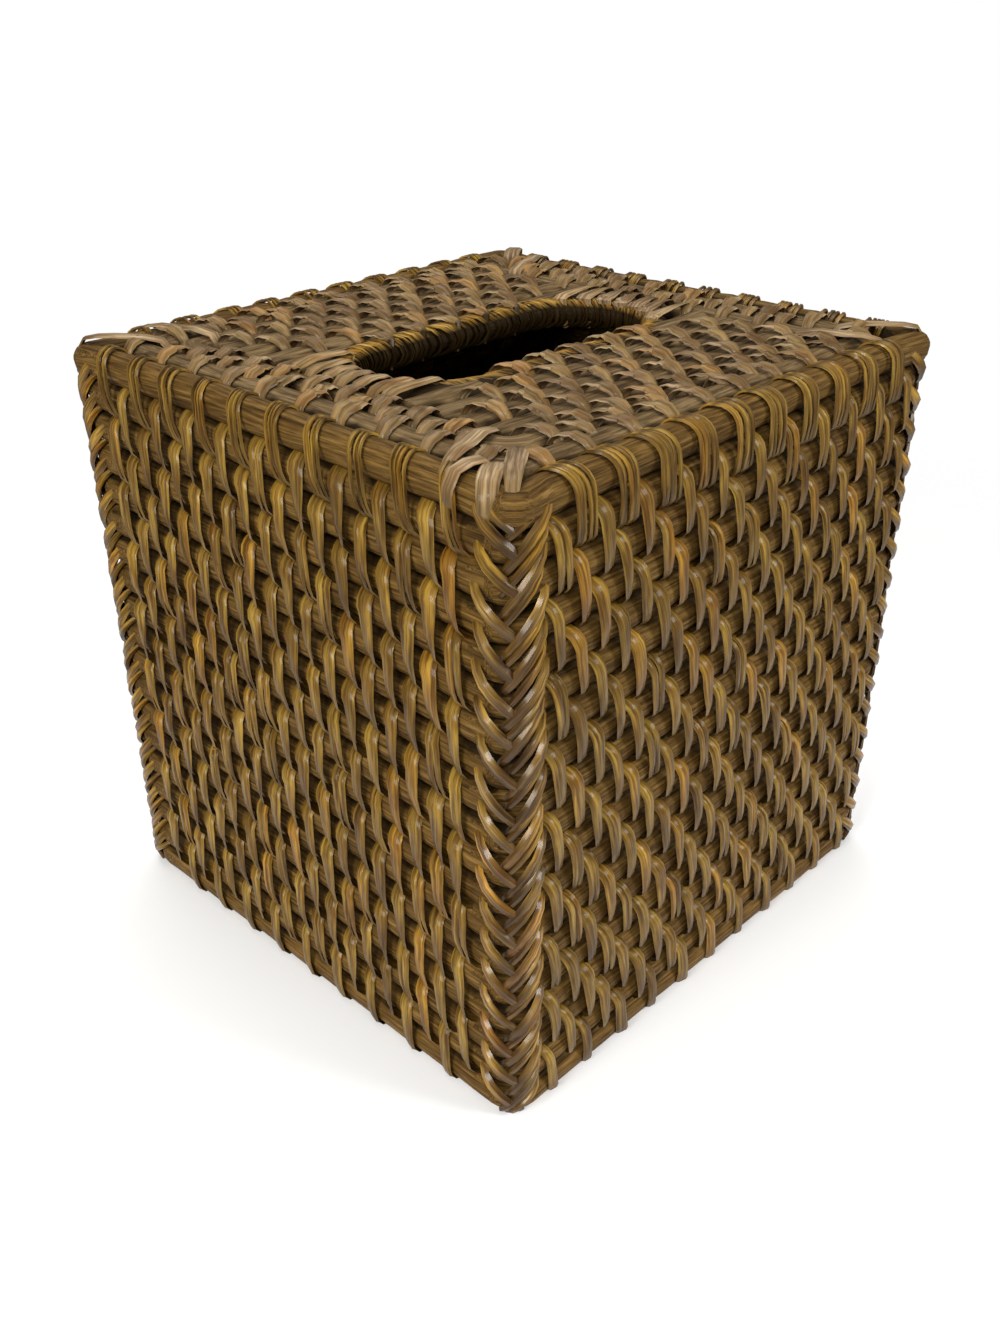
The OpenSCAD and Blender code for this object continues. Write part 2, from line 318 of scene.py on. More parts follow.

# What a value is turned into, from its low and high end: how much painted shade a rod takes from its
# shade, its roughness from its fibre, and how much of its last colour, wear and painted light, a strip
# takes from its tail and how much painted shade where it dives from its shade
VALLEY_RANGE = (0.45, 0.95, 0.0, 0.95)
ROD_ROUGHNESS = (0.3, 0.7, 0.7, 0.5)
WEAR_AND_LIGHT_RANGE = (0.38, 0.66, 0.0, 0.9)
DIVE_SHADE_RANGE = (0.05, 0.85, 0.96, 0.0)

# Height of the bumps in the grain, how dark the grooves are in a strip's last colour, and how much rougher
# a strip is in its grooves
ROD_BUMP = 0.28 * MM
STRIP_BUMP = 0.22 * MM
END_COLOUR_GROOVE = 0.35
GROOVE_ROUGHNESS = 0.12

# Stage: size of the floor and where it fades out, where the lights aim, how bright the world is for the
# camera and as a light, and the width of the camera's sensor in millimetres
FLOOR_SIZE = 4
FLOOR_FADE = (0.16, 0.42, 0.0, 1.0)
LIGHT_AIM = Vector((0, 0, 0.07))
WORLD_SEEN = 1.0
WORLD_LIGHT = 0.3
SENSOR = 36

# Name, place, size and power of each light
LIGHTS = [
    ("left_softbox", (-0.85, -0.15, 0.45), 0.35, 6.6),
    ("right_softbox", (0.45, -0.90, 0.55), 0.4, 7.4),
    ("front_softbox", (-0.62, -0.60, 0.75), 0.22, 4.5),
    ("top_softbox", (0.1, 0.3, 1.1), 0.7, 6.0),
]


class RattanRodSettings(bpy.types.PropertyGroup):
    bend_radius: bpy.props.FloatProperty(
        name="Bend Radius", description="Radius of a rod's middle line at a corner",
        default=4 * MM, unit="LENGTH")
    rim_bend: bpy.props.FloatProperty(
        name="Rim Bend", description="Radius of the rim's middle line at a corner",
        default=1.8 * MM, unit="LENGTH")
    rim_bulge: bpy.props.FloatProperty(
        name="Rim Bulge", description="How far the rim stands out at a corner",
        default=1.5 * MM, unit="LENGTH")
    wander: bpy.props.FloatProperty(
        name="Wander", description="How far a rod strays from its straight line",
        default=0.35 * MM, unit="LENGTH")
    rib_depth: bpy.props.FloatProperty(
        name="Rib Depth", description="Depth of the lengthwise ribs in a rod's surface",
        default=0.22 * MM, unit="LENGTH")
    squeeze: bpy.props.FloatProperty(
        name="Squeeze", description="Part of its radius by which a rod gives way at a stitch",
        default=0.05, subtype="FACTOR")
    fill: bpy.props.FloatProperty(
        name="Fill", description="Part of its radius by which a rod is wider towards its neighbours",
        default=0.22, subtype="FACTOR")
    colour_dark: bpy.props.FloatVectorProperty(
        name="Dark Grain", description="Colour of the grooves in a rod",
        default=(0.036, 0.018, 0.005), size=3, min=0, max=1, subtype="COLOR")
    colour_mid: bpy.props.FloatVectorProperty(
        name="Rod", description="Colour of most of a rod's surface",
        default=(0.106, 0.056, 0.013), size=3, min=0, max=1, subtype="COLOR")
    colour_light: bpy.props.FloatVectorProperty(
        name="Light Grain", description="Colour of the raised grain of a rod",
        default=(0.210, 0.123, 0.034), size=3, min=0, max=1, subtype="COLOR")


class RattanStripSettings(bpy.types.PropertyGroup):
    width: bpy.props.FloatProperty(
        name="Width", description="Width of a lashing strip", default=3.4 * MM, unit="LENGTH")
    thickness: bpy.props.FloatProperty(
        name="Thickness", description="Thickness of a lashing strip", default=0.5 * MM, unit="LENGTH")
    play: bpy.props.FloatProperty(
        name="Play", description="Free space between a strip and its rod",
        default=0.08 * MM, unit="LENGTH")
    pitch: bpy.props.FloatProperty(
        name="Stitch Pitch", description="Distance from stitch to stitch along a rod",
        default=12.1 * MM, unit="LENGTH")
    top_pitch: bpy.props.FloatProperty(
        name="Top Pitch", description="Distance from stitch to stitch in the top",
        default=10.4 * MM, unit="LENGTH")
    top_shift: bpy.props.FloatProperty(
        name="Top Shift", description="Part of its pitch that each row of the top moves on by",
        default=0.63, subtype="FACTOR")
    row_shift: bpy.props.FloatProperty(
        name="Row Shift", description="Part of a stitch pitch that each row moves on by",
        default=0.5, subtype="FACTOR")
    slant: bpy.props.FloatProperty(
        name="Slant", description="How far a stitch moves on along the rods on its way down",
        default=4.0 * MM, unit="LENGTH")
    corner_room: bpy.props.FloatProperty(
        name="Corner Room", description="Length beside a corner that the stitches leave free",
        default=9.7 * MM, unit="LENGTH")
    corner_width: bpy.props.FloatProperty(
        name="Corner Strip Width", description="Width of a strip of the corner braid",
        default=2.5 * MM, unit="LENGTH")
    wrap_width: bpy.props.FloatProperty(
        name="Wrap Width", description="Width of a thin strip round the opening",
        default=0.85 * MM, unit="LENGTH")


class RattanStageSettings(bpy.types.PropertyGroup):
    view_turn: bpy.props.FloatProperty(
        name="View Turn", description="Turn of the camera from the front, to the right",
        default=math.radians(-46.30), subtype="ANGLE")
    view_rise: bpy.props.FloatProperty(
        name="View Rise", description="Height of the camera over the horizon",
        default=math.radians(29.12), subtype="ANGLE")
    view_roll: bpy.props.FloatProperty(
        name="View Roll", description="Turn of the picture about its middle",
        default=math.radians(-0.25), subtype="ANGLE")
    view_distance: bpy.props.FloatProperty(
        name="View Distance", description="Distance from the camera to the point it looks at",
        default=337.2 * MM, unit="LENGTH")
    view_target: bpy.props.FloatVectorProperty(
        name="View Target", description="Point that the camera looks at",
        default=(-2.29 * MM, 0, 59.0 * MM), size=3, subtype="TRANSLATION")
    focal_share: bpy.props.FloatProperty(
        name="Focal Length", description="Focal length as a part of the picture's height",
        default=1289.1 / 1333)
    floor_colour: bpy.props.FloatVectorProperty(
        name="Floor", description="Colour of the floor", default=(0.90, 0.90, 0.89),
        size=3, min=0, max=1, subtype="COLOR")


def seed_all(number):
    """Seeds the random numbers, and the noise vectors, which are else seeded by the clock."""
    random.seed(number)
    noise.seed_set(number)


def deselect_all():
    """Leaves nothing selected, so an operator acts on the new piece alone."""
    if bpy.context.object and bpy.context.object.mode != "OBJECT":
        bpy.ops.object.mode_set(mode="OBJECT")
    bpy.ops.object.select_all(action="DESELECT")


def select_only(piece):
    """Selects the piece alone and makes it the active one."""
    deselect_all()
    piece.select_set(True)
    bpy.context.view_layer.objects.active = piece


def apply_place(piece):
    """Moves the piece's place into its mesh."""
    select_only(piece)
    bpy.ops.object.transform_apply(location=True, rotation=True, scale=True)


def mend_faces(piece, merge):
    """Merges doubled vertices and turns all faces outwards."""
    select_only(piece)
    bpy.ops.object.mode_set(mode="EDIT")
    bpy.ops.mesh.select_all(action="SELECT")
    bpy.ops.mesh.remove_doubles(threshold=merge)
    bpy.ops.mesh.normals_make_consistent(inside=False)
    bpy.ops.object.mode_set(mode="OBJECT")


def join_pieces(pieces, name):
    """Joins finished parts into one piece of that name."""
    deselect_all()
    for piece in pieces:
        piece.select_set(True)
    bpy.context.view_layer.objects.active = pieces[0]
    if len(pieces) > 1:
        bpy.ops.object.join()
    joined = pieces[0]
    joined.name = name
    joined.data.name = name
    return joined


def finish_piece(piece, material, edge):
    """Smooths the piece, apart from edges sharper than the given angle, and gives it its material."""
    select_only(piece)
    bpy.ops.object.shade_smooth_by_angle(angle=edge)
    piece.data.materials.clear()
    piece.data.materials.append(material)


def keep_above_floor(piece):
    """Flattens what would reach below the surface that the cover stands on."""
    for vertex in piece.data.vertices:
        vertex.co.z = max(vertex.co.z, 0)


def hand_in(piece, node):
    """The piece takes the place of a solid of the frame."""
    select_only(piece)
    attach(piece, "root")
    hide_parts(node)


def set_vertex_values(piece, name, kind, values):
    """Writes one value for each vertex into a named attribute of the piece."""
    layer = piece.data.attributes.get(name) or piece.data.attributes.new(name, kind, "POINT")
    field = "vector" if kind == "FLOAT_VECTOR" else "value"
    flat = [part for value in values for part in value] if kind == "FLOAT_VECTOR" else values
    layer.data.foreach_set(field, flat)


# Rods


def start_section(name, place):
    """A rod's round section at its start, open in edit mode, facing along X."""
    deselect_all()
    bpy.ops.mesh.primitive_circle_add(
        vertices=ROD_SIDES, radius=ROD_R, fill_type="NOTHING", location=place,
        rotation=(0, math.pi / 2, 0))
    rod = bpy.context.active_object
    rod.name = name
    apply_place(rod)
    bpy.ops.object.mode_set(mode="EDIT")
    bpy.ops.mesh.select_all(action="SELECT")
    return rod


def draw_out(run):
    """Draws the selected section out along a straight run."""
    bpy.ops.mesh.extrude_region_move(TRANSFORM_OT_translate={"value": run})


def bend_round(middle, angle, steps):
    """Bends the rod on round an upright axis; a positive angle turns left."""
    bpy.ops.mesh.spin(steps=steps, angle=-angle, center=middle, axis=(0, 0, 1))


def close_rod(rod):
    """Closes the rod on itself and cuts its straight runs into short lengths."""
    bpy.ops.object.mode_set(mode="OBJECT")
    mend_faces(rod, ROD_MERGE)
    cut_runs(rod)


def cut_runs(rod):
    """Cuts each long edge into equal short ones."""
    bpy.ops.object.mode_set(mode="EDIT")
    bpy.ops.mesh.select_mode(type="EDGE")
    bpy.ops.mesh.select_all(action="DESELECT")
    bpy.ops.object.mode_set(mode="OBJECT")
    points = rod.data.vertices
    for edge in rod.data.edges:
        first, last = edge.vertices
        edge.select = (points[first].co - points[last].co).length > RUN_LONGEST
    bpy.ops.object.mode_set(mode="EDIT")
    bpy.ops.mesh.subdivide(number_cuts=RUN_CUTS)
    bpy.ops.mesh.select_mode(type="VERT")
    bpy.ops.object.mode_set(mode="OBJECT")


def ring_rod(name, half_x, half_y, height, bend):
    """A closed rod with four bent corners."""
    run_x = half_x - bend
    run_y = half_y - bend
    rod = start_section(name, (-run_x, -half_y, height))
    middles = [(run_x, -run_y), (run_x, run_y), (-run_x, run_y), (-run_x, -run_y)]
    runs = [(2 * run_x, 0, 0), (0, 2 * run_y, 0), (-2 * run_x, 0, 0), (0, -2 * run_y, 0)]
    for run, middle in zip(runs, middles):
        draw_out(run)
        bend_round((middle[0], middle[1], height), math.pi / 2, BEND_STEPS)
    close_rod(rod)
    return rod


def straight_rod(name, start, run_length):
    """A rod along X with flat closed ends."""
    rod = start_section(name, start)
    draw_out((run_length, 0, 0))
    bpy.ops.object.mode_set(mode="OBJECT")
    cut_runs(rod)
    bpy.ops.object.mode_set(mode="EDIT")
    bpy.ops.mesh.select_all(action="SELECT")
    bpy.ops.mesh.fill_holes(sides=0)
    bpy.ops.mesh.normals_make_consistent(inside=False)
    bpy.ops.object.mode_set(mode="OBJECT")
    return rod


def ring_middle(point, half_x, half_y, bend):
    """Nearest point of a ring's middle line, the outward direction, and the place along the side.

    The place is counted from the middle of the side to the right, seen from outside.
    """
    run_x = half_x - bend
    run_y = half_y - bend
    sign_x = math.copysign(1, point.x)
    sign_y = math.copysign(1, point.y)
    if abs(point.x) <= run_x:
        return Vector((point.x, sign_y * half_y)), Vector((0, sign_y)), -sign_y * point.x
    if abs(point.y) <= run_y:
        return Vector((sign_x * half_x, point.y)), Vector((sign_x, 0)), sign_x * point.y
    corner = Vector((sign_x * run_x, sign_y * run_y))
    away = (Vector((point.x, point.y)) - corner).normalized()
    return corner + away * bend, Vector((sign_x, sign_y)).normalized(), -sign_y * sign_x * run_x


def line_middle(point, line):
    """The same for a straight rod along X at that depth."""
    sign_y = math.copysign(1, line)
    return Vector((point.x, line)), Vector((0, sign_y)), -sign_y * point.x


def mouth_middle(point):
    """The same for the rod bent round the opening."""
    sign_x = math.copysign(1, point.x)
    sign_y = math.copysign(1, point.y)
    if abs(point.x) <= MOUTH_HALF:
        return Vector((point.x, sign_y * MOUTH_R)), Vector((0, sign_y)), -sign_y * point.x
    end = Vector((sign_x * MOUTH_HALF, 0))
    away = (Vector((point.x, point.y)) - end).normalized()
    turn = abs(math.asin(away.x))
    return end + away * MOUTH_R, away, -sign_y * sign_x * (MOUTH_HALF + MOUTH_R * turn)


def rod_noise(along, upward, face, scales, shift):
    """Noise at a place along a rod and round it."""
    along_scale, round_scale = scales
    return noise.noise(Vector((along * along_scale, upward * round_scale, face * round_scale)) + shift)


def weather_rod(rod, height, row, neighbours, middle_of):
    """Squeezes a rod at its stitches, fills it out to its neighbours, and raises and stores its grain."""
    rods = bpy.context.scene.rattan_rods
    strips = bpy.context.scene.rattan_strips
    shift = Vector([row * step for step in NOISE_STEPS])
    held = ((row * strips.row_shift) % 1.0 + HELD_SHARE) * strips.pitch
    grain, tones, shades = [], [], []
    tone = random.random()
    for vertex in rod.data.vertices:
        middle, side, along = middle_of(vertex.co)
        centre = Vector((middle.x, middle.y, height))
        out = (vertex.co - centre).normalized()
        face = out.x * side.x + out.y * side.y
        beside = max(0.0, *(face * part + out.z * rise for part, rise in neighbours))
        swell = -math.cos(2 * math.pi * (along - held) / strips.pitch)
        swell += SWELL_NOISE * noise.noise(Vector((along * SWELL_SCALE, 0, row * SWELL_STEP)))
        ribs = rod_noise(along, out.z, face, RIB_SCALES, shift)
        fine = rod_noise(along, out.z, face, FINE_SCALES, shift)
        stray = noise.noise_vector(centre * STRAY_SCALE + shift)
        vertex.co += out * ROD_R * (rods.squeeze * swell * (1 - beside) + rods.fill * beside * beside)
        vertex.co += out * rods.rib_depth * (RIB_PART * ribs + FINE_PART * fine - SUNK_PART)
        vertex.co += stray * rods.wander
        grain.append((along + row * GRAIN_STEPS[0], out.z * ROD_R, face * ROD_R + row * GRAIN_STEPS[1]))
        tones.append(tone)
        # Painted shade: dark where the rod meets its neighbours, darker beside its stitches.
        shades.append(max(0.0, beside ** 2 - SWELL_SHADE * swell * beside))
    set_vertex_values(rod, "grain", "FLOAT_VECTOR", grain)
    set_vertex_values(rod, "tone", "FLOAT", tones)
    set_vertex_values(rod, "shade", "FLOAT", shades)


def rim_bulge(point):
    """How far a point of the rim moves out, because the rim stands out a little at its corners."""
    rods = bpy.context.scene.rattan_rods
    outward = Vector((math.copysign(1, point.x), math.copysign(1, point.y), 0)).normalized()
    corner = Vector((outward.x * WALL_X, outward.y * WALL_Y)) * math.sqrt(2)
    near = max(0.0, 1 - (point.xy - corner).length / (BULGE_REACH * ROD_R))
    return outward * rods.rim_bulge * min(1.0, BULGE_RISE * near) ** BULGE_POWER


def finish_rod(rod, node, material):
    """Gives a rod its finish and hands it in for its node."""
    finish_piece(rod, material, ROD_EDGE)
    hand_in(rod, node)


def lay_ring(node, inside, material):
    """The rim, or the ring of the top that lies that many rods inside it."""
    settings = bpy.context.scene.rattan_rods
    half_x = WALL_X - inside * ROD_PITCH
    half_y = WALL_Y - inside * ROD_PITCH
    bend = settings.bend_radius if inside else settings.rim_bend
    rod = ring_rod(node + "_rod", half_x, half_y, RIM_Z, bend)
    weather_rod(rod, RIM_Z, inside, TOP_NEIGHBOURS if inside else RIM_NEIGHBOURS,
                lambda point: ring_middle(point, half_x, half_y, bend))
    if not inside:
        for vertex in rod.data.vertices:
            vertex.co += rim_bulge(vertex.co)
    finish_rod(rod, node, material)


def lay_straight_rods(node, name, low_x, high_x, lines, material):
    """Straight rods of the top along X, one for each row and depth given, joined into one piece."""
    rods = []
    for row, line in lines:
        rod = straight_rod(node, (low_x, line, RIM_Z), high_x - low_x)
        weather_rod(rod, RIM_Z, row, TOP_NEIGHBOURS, lambda point: line_middle(point, line))
        rods.append(rod)
    finish_rod(join_pieces(rods, name), node, material)


def lay_mouth_rod(material):
    """The rod bent round the opening, painted dark all over as shade under its thin strips."""
    rod = start_section("opening_rim_rod", (-MOUTH_HALF, -MOUTH_R, RIM_Z))
    for side in (1, -1):
        draw_out((2 * side * MOUTH_HALF, 0, 0))
        bend_round((side * MOUTH_HALF, 0, RIM_Z), math.pi, MOUTH_STEPS)
    close_rod(rod)
    weather_rod(rod, RIM_Z, MOUTH_ROW, MOUTH_NEIGHBOURS, mouth_middle)
    # Painted shade over the whole rod, which shows only between its thin strips.
    set_vertex_values(rod, "shade", "FLOAT", [1.0] * len(rod.data.vertices))
    finish_rod(rod, "opening_rim", material)


# Strips


def cut_blank(name, segments):
    """A straight strip: its section drawn out segment by segment, one unit each, along X."""
    deselect_all()
    bpy.ops.mesh.primitive_circle_add(
        vertices=len(STRIP_SECTION), radius=1, fill_type="NOTHING", rotation=(0, math.pi / 2, 0))
    blank = bpy.context.active_object
    blank.name = name
    apply_place(blank)
    for vertex, (across, over) in zip(blank.data.vertices, STRIP_SECTION):
        vertex.co = (0, across, over)
    bpy.ops.object.mode_set(mode="EDIT")
    bpy.ops.mesh.select_all(action="SELECT")
    for _ in range(segments):
        bpy.ops.mesh.extrude_region_move(TRANSFORM_OT_translate={"value": (1, 0, 0)})
    bpy.ops.object.mode_set(mode="OBJECT")
    return blank


def strip_blank(segments):
    """The blank of that many segments, cut when it is first asked for."""
    name = "blank_%02d" % segments
    return bpy.data.objects.get(name) or cut_blank(name, segments)


def drop_blanks():
    """Removes the blanks, which aren't part of the cover."""
    for blank in [item for item in bpy.data.objects if item.name.startswith("blank_")]:
        bpy.data.objects.remove(blank)


def close_ends(blank):
    """Closes both ends of a strip that isn't wound into a loop."""
    select_only(blank)
    bpy.ops.object.mode_set(mode="EDIT")
    bpy.ops.mesh.select_all(action="SELECT")
    bpy.ops.mesh.fill_holes(sides=0)
    bpy.ops.object.mode_set(mode="OBJECT")


class Station:
    """One place along a strip: its middle, width, roll and thickness.

    The shade is how far it lies in the light, painted into its colour as shade, and the tail how far it has
    turned to its last colour, of wear and painted light.
    """

    def __init__(self, place, width, roll=0.0, thick=1.0, shade=1.0, tail=0.0):
        self.place = Vector(place)
        self.width = width
        self.roll = roll
        self.thick = thick
        self.shade = shade
        self.tail = tail


def station_frames(stations, across, closed):
    """Middle, width and outward direction at each station, with the width along the given direction."""
    count = len(stations)
    frames = []
    for k, station in enumerate(stations):
        before = stations[(k - 1) % count if closed else max(k - 1, 0)].place
        after = stations[(k + 1) % count if closed else min(k + 1, count - 1)].place
        run = (after - before).normalized()
        hint = across[k] if isinstance(across, list) else across
        side = (hint - hint.dot(run) * run).normalized()
        turned = Matrix.Rotation(station.roll, 3, run)
        side = turned @ side
        out = run.cross(side)
        frames.append((station.place, side * station.width, out))
    return frames


def wind_strip(blank, stations, across, closed, tone, place):
    """A copy of the blank bent along the stations, then set in its place."""
    strips = bpy.context.scene.rattan_strips
    frames = station_frames(stations, across, closed)
    count = len(stations)
    strip = blank.copy()
    strip.data = blank.data.copy()
    bpy.context.scene.collection.objects.link(strip)
    lengths = [0.0]
    for k in range(1, count + 1):
        lengths.append(lengths[-1] + (stations[k % count].place - stations[k - 1].place).length)
    grain, tones, shades, tails = [], [], [], []
    for vertex in strip.data.vertices:
        k = round(vertex.co.x)
        station = stations[k % count]
        middle, side, out = frames[k % count]
        across_share, over = vertex.co.y, vertex.co.z
        vertex.co = place @ (middle + side * across_share + out * (over * station.thick * strips.thickness))
        grain.append((lengths[k], across_share * station.width + tone * TONE_SHIFT, over * strips.thickness))
        tones.append(tone)
        shades.append(station.shade)
        tails.append(station.tail)
    set_vertex_values(strip, "grain", "FLOAT_VECTOR", grain)
    set_vertex_values(strip, "tone", "FLOAT", tones)
    set_vertex_values(strip, "shade", "FLOAT", shades)
    set_vertex_values(strip, "tail", "FLOAT", tails)
    return strip


def finish_strips(strips, name, material):
    """Joins the strips of a row, closes their loops and gives them their finish."""
    piece = join_pieces(strips, name)
    mend_faces(piece, STRIP_MERGE)
    finish_piece(piece, material, STRIP_EDGE)
    return piece


def blend(first, last, share):
    """The value that lies that share of the way from the first to the last."""
    return first + (last - first) * share


def profile(points, share):
    """The value at that share, on straight lines through points of share and value."""
    for (first, low), (last, high) in zip(points, points[1:]):
        if share <= last:
            return blend(low, high, max(0.0, share - first) / (last - first))
    return points[-1][1]


def hump(shape, share):
    """A value that rises and falls along a strip like a part of a half wave."""
    base, height, first, last = shape
    return base + height * math.sin(math.pi * blend(first, last, share))


def strip_reach():
    """Distance from a rod's middle to the middle of a strip on it."""
    strips = bpy.context.scene.rattan_strips
    return ROD_R + strips.play + strips.thickness / 2


def lashing_stations(span, width, slant, twist, bow, start=STITCH_START, end=100, taper=1.0, rise=0.55,
                     widths=STITCH_WIDTHS):
    """Stations of a strip round two rods a span apart: down over the front and back up inside.

    The lower rod's middle is the origin, X runs along the rods, -Y is the outer side. The strip comes
    into sight at the start angle, from the top of the upper rod, and goes on to the end angle on the
    lower one. It tapers to a part of its width and rises by some millimetres on its way down.
    """
    reach = strip_reach()
    steps = math.ceil((STITCH_LEAVE - start) / UPPER_STEP)
    front = []
    for k in range(steps + 1):
        angle = math.radians(blend(start, STITCH_LEAVE, k / steps))
        front.append((0, span, -math.sin(angle), math.cos(angle)))
    front += [(-bow, span * share, -1, 0) for share in FREE_HEIGHTS]
    for k in range(LOWER_STEPS + 1):
        angle = math.radians(end * k / LOWER_STEPS)
        front.append((0, 0, -math.cos(angle), -math.sin(angle)))
    stations = []
    first = steps - FORMED_STEPS
    last = len(front) - 1
    for k, (depth, height, out_depth, out_height) in enumerate(front):
        share = max(0.0, (k - first) / (last - first))
        wide = width * profile(widths, share) * blend(1, taper, share)
        roll = twist * profile(STITCH_TWISTS, share)
        lift = reach + EDGE_LIFT * wide * math.sin(abs(roll)) + rise * MM * profile(STITCH_RISES, share)
        place = (slant * profile(STITCH_WAY, share), depth + out_depth * lift, height + out_height * lift)
        # Painted shade: lit along the front, dark at the ends where the strip dives between the rods.
        shade = min(1.0, hump(STITCH_SHADES, share))
        if k == last or (k == 0 and start < 0):
            shade = 0.0
        elif k < first:
            shade = OVER_SHADE
        stations.append(Station(place, wide, roll, 1.0, shade, share))
    for turn, upper in BACK_TURNS:
        angle = math.radians(turn)
        way = slant * STITCH_WAY[0 if upper else -1][1]
        place = (way, -reach * math.cos(angle), span * upper - reach * math.sin(angle))
        wide = width * BACK_WIDTH * (1 if upper else taper)
        stations.append(Station(place, wide, 0.0, 1.0, BACK_SHADE, 1.0))
    return stations


def stitch_places(half, shift, pitch):
    """Middles of the stitches along a straight run, moved on by a part of the pitch."""
    strips = bpy.context.scene.rattan_strips
    ends = math.ceil(half / pitch)
    places = [(k + shift % 1.0) * pitch for k in range(-ends - 1, ends + 1)]
    return [at for at in places if abs(at) <= half - strips.width / 2]


def wall_turn(degrees):
    """Turn about the upright axis that brings the front to a wall."""
    return Matrix.Rotation(math.radians(degrees), 4, "Z")


def stitch(span, place, width, slant, shares=ONE_STRAND, twist=24, **style):
    """One stitch of one or more strips side by side, each a little different."""
    parts = []
    strips = bpy.context.scene.rattan_strips
    across = Vector((1, 0, 0))
    for share in shares:
        tone = random.random()
        bow = random.uniform(*STITCH_BOWS) * MM
        roll = math.radians(twist * random.uniform(*STITCH_TURNS))
        way = slant * random.uniform(*STITCH_SLANTS)
        wide = width * random.uniform(*STITCH_WIDES)
        stations = lashing_stations(span, wide, way, roll, bow, **style)
        stray = random.uniform(*STITCH_STRAYS) * MM
        moved = Matrix.Translation((share * strips.width + stray, 0, 0))
        blank = strip_blank(len(stations))
        parts.append(wind_strip(blank, stations, across, True, tone, place @ moved))
    return parts


def wall_stitch(row, right_hand):
    """Width, slant, strands and form of one stitch in that row of a wall."""
    if row == 1:
        return RIM_STITCH_WIDE if right_hand else RIM_STITCH
    if row == len(COURSES):
        return LOW_STITCH
    form = DART if right_hand else {}
    if random.random() < TWO_STRAND_PART:
        return TWO_STRAND_WIDTH, 1, TWO_STRANDS, form
    return 1, 1, ONE_STRAND, form


def lash_row(row):
    """All stitches of one row, on the four walls."""
    strips = bpy.context.scene.rattan_strips
    parts = []
    for name, degrees, run, distance in WALLS:
        for at in stitch_places(wall_room(run), row * strips.row_shift, strips.pitch):
            place = wall_turn(degrees) @ Matrix.Translation((at, -distance, COURSE_Z[row]))
            width, slant, strands, form = wall_stitch(row, name in ("front", "right"))
            parts += stitch(ROD_PITCH, place, strips.width * width, strips.slant * slant, strands, **form)
    return parts


def wall_room(run):
    """Half of the length along a wall in which its stitches lie."""
    return run + ROD_R + STRIP_STAND - bpy.context.scene.rattan_strips.corner_room


def corner_point(turn, along, bend, beyond, height):
    """A point beside a rod's middle line at a corner, its outward direction and the way along the rod.

    The turn names the corner, the length along is counted from the diagonal, left turns first.
    """
    reach = bend + beyond
    rest = math.copysign(max(0.0, abs(along) - reach * math.pi / 4), along)
    angle = math.radians(turn) + math.pi / 4 + (along - rest) / reach
    sign_x, sign_y = corner_signs(turn)
    middle = Vector((sign_x * (WALL_X - bend), sign_y * (WALL_Y - bend), height))
    out = Vector((math.cos(angle), math.sin(angle), 0))
    ahead = Vector((-math.sin(angle), math.cos(angle), 0))
    return middle + out * reach + ahead * rest, out, ahead


def corner_signs(turn):
    """Whether a corner lies to the right or the left, and behind or in front."""
    return (1 if turn in (0, 270) else -1), (1 if turn in (0, 90) else -1)


def corner_arm(turn, side, start_z, width, far, drop):
    """One arm of the corner braid: out from between two rods, down to the corner and under the next."""
    bend = bpy.context.scene.rattan_rods.bend_radius
    far *= random.uniform(*ARM_REACHES)
    end = ARM_END * random.uniform(*ARM_ENDS)
    drop = min(drop * random.uniform(*ARM_DROPS), start_z - ARM_LOWEST)
    lift = random.uniform(*ARM_LIFTS)
    lean = random.uniform(*ARM_LEANS)
    stations, hints = [], []
    for share, over in CORNER_ARM:
        along = side * blend(far, end, share ** ARM_WAY_POWER)
        height = start_z - drop * share ** ARM_DROP_POWER
        point, out, ahead = corner_point(turn, along, bend, ROD_R, height)
        point += out * over * lift * MM
        wide = width * hump(ARM_WIDTHS, share)
        shade = min(1.0, hump(ARM_SHADES, share))
        stations.append(Station(point, wide, side * lean * share, ARM_THICK, shade, share * ARM_END_SHADE))
        hints.append(ahead - Vector((0, 0, side)))
    blank = strip_blank(len(CORNER_ARM) - 1)
    return wind_strip(blank, stations, hints, False, random.random(), Matrix.Identity(4))


def braid_corner(turn):
    """The braid down one corner: wide arms on one side, wide and thin ones by turns on the other."""
    wide = bpy.context.scene.rattan_strips.corner_width
    start, width, reach, drop = BRAID_TOP
    top = COURSE_Z[1] + ROD_PITCH * start
    parts = []
    for side in (-1, 1):
        parts.append(corner_arm(turn, side, top, wide * width, BRAID_REACH * reach, BRAID_DROP * drop))
    for middle in COURSE_Z[1:]:
        base = middle + ROD_PITCH * BRAID_START
        for side, more, width, reach, drop in BRAID_ARMS:
            parts.append(corner_arm(
                turn, side, base + more * MM, wide * width, BRAID_REACH * reach, BRAID_DROP * drop))
    return parts


def top_place(degrees, distance, at):
    """Frame of a stitch in the top, over the rod at that distance from the middle."""
    lay = Matrix.Rotation(-math.pi / 2, 4, "X")
    return wall_turn(degrees) @ Matrix.Translation((at, -distance, RIM_Z)) @ lay


def hook(place, width, start=TOP_START, rise=0.7, twist=30, end=100):
    """One stitch of the top: up from the valley before a rod, over it and down into the next valley."""
    strips = bpy.context.scene.rattan_strips
    centred = place @ Matrix.Translation((0, 0, -HOOK_SPAN / 2))
    width *= random.uniform(*HOOK_WIDES)
    slant = strips.slant * random.uniform(*HOOK_SLANTS)
    style = {"twist": twist, "rise": rise, "taper": HOOK_TAPER, "start": start, "end": end,
             "widths": HOOK_WIDTHS}
    return stitch(HOOK_SPAN, centred, width, slant, **style)


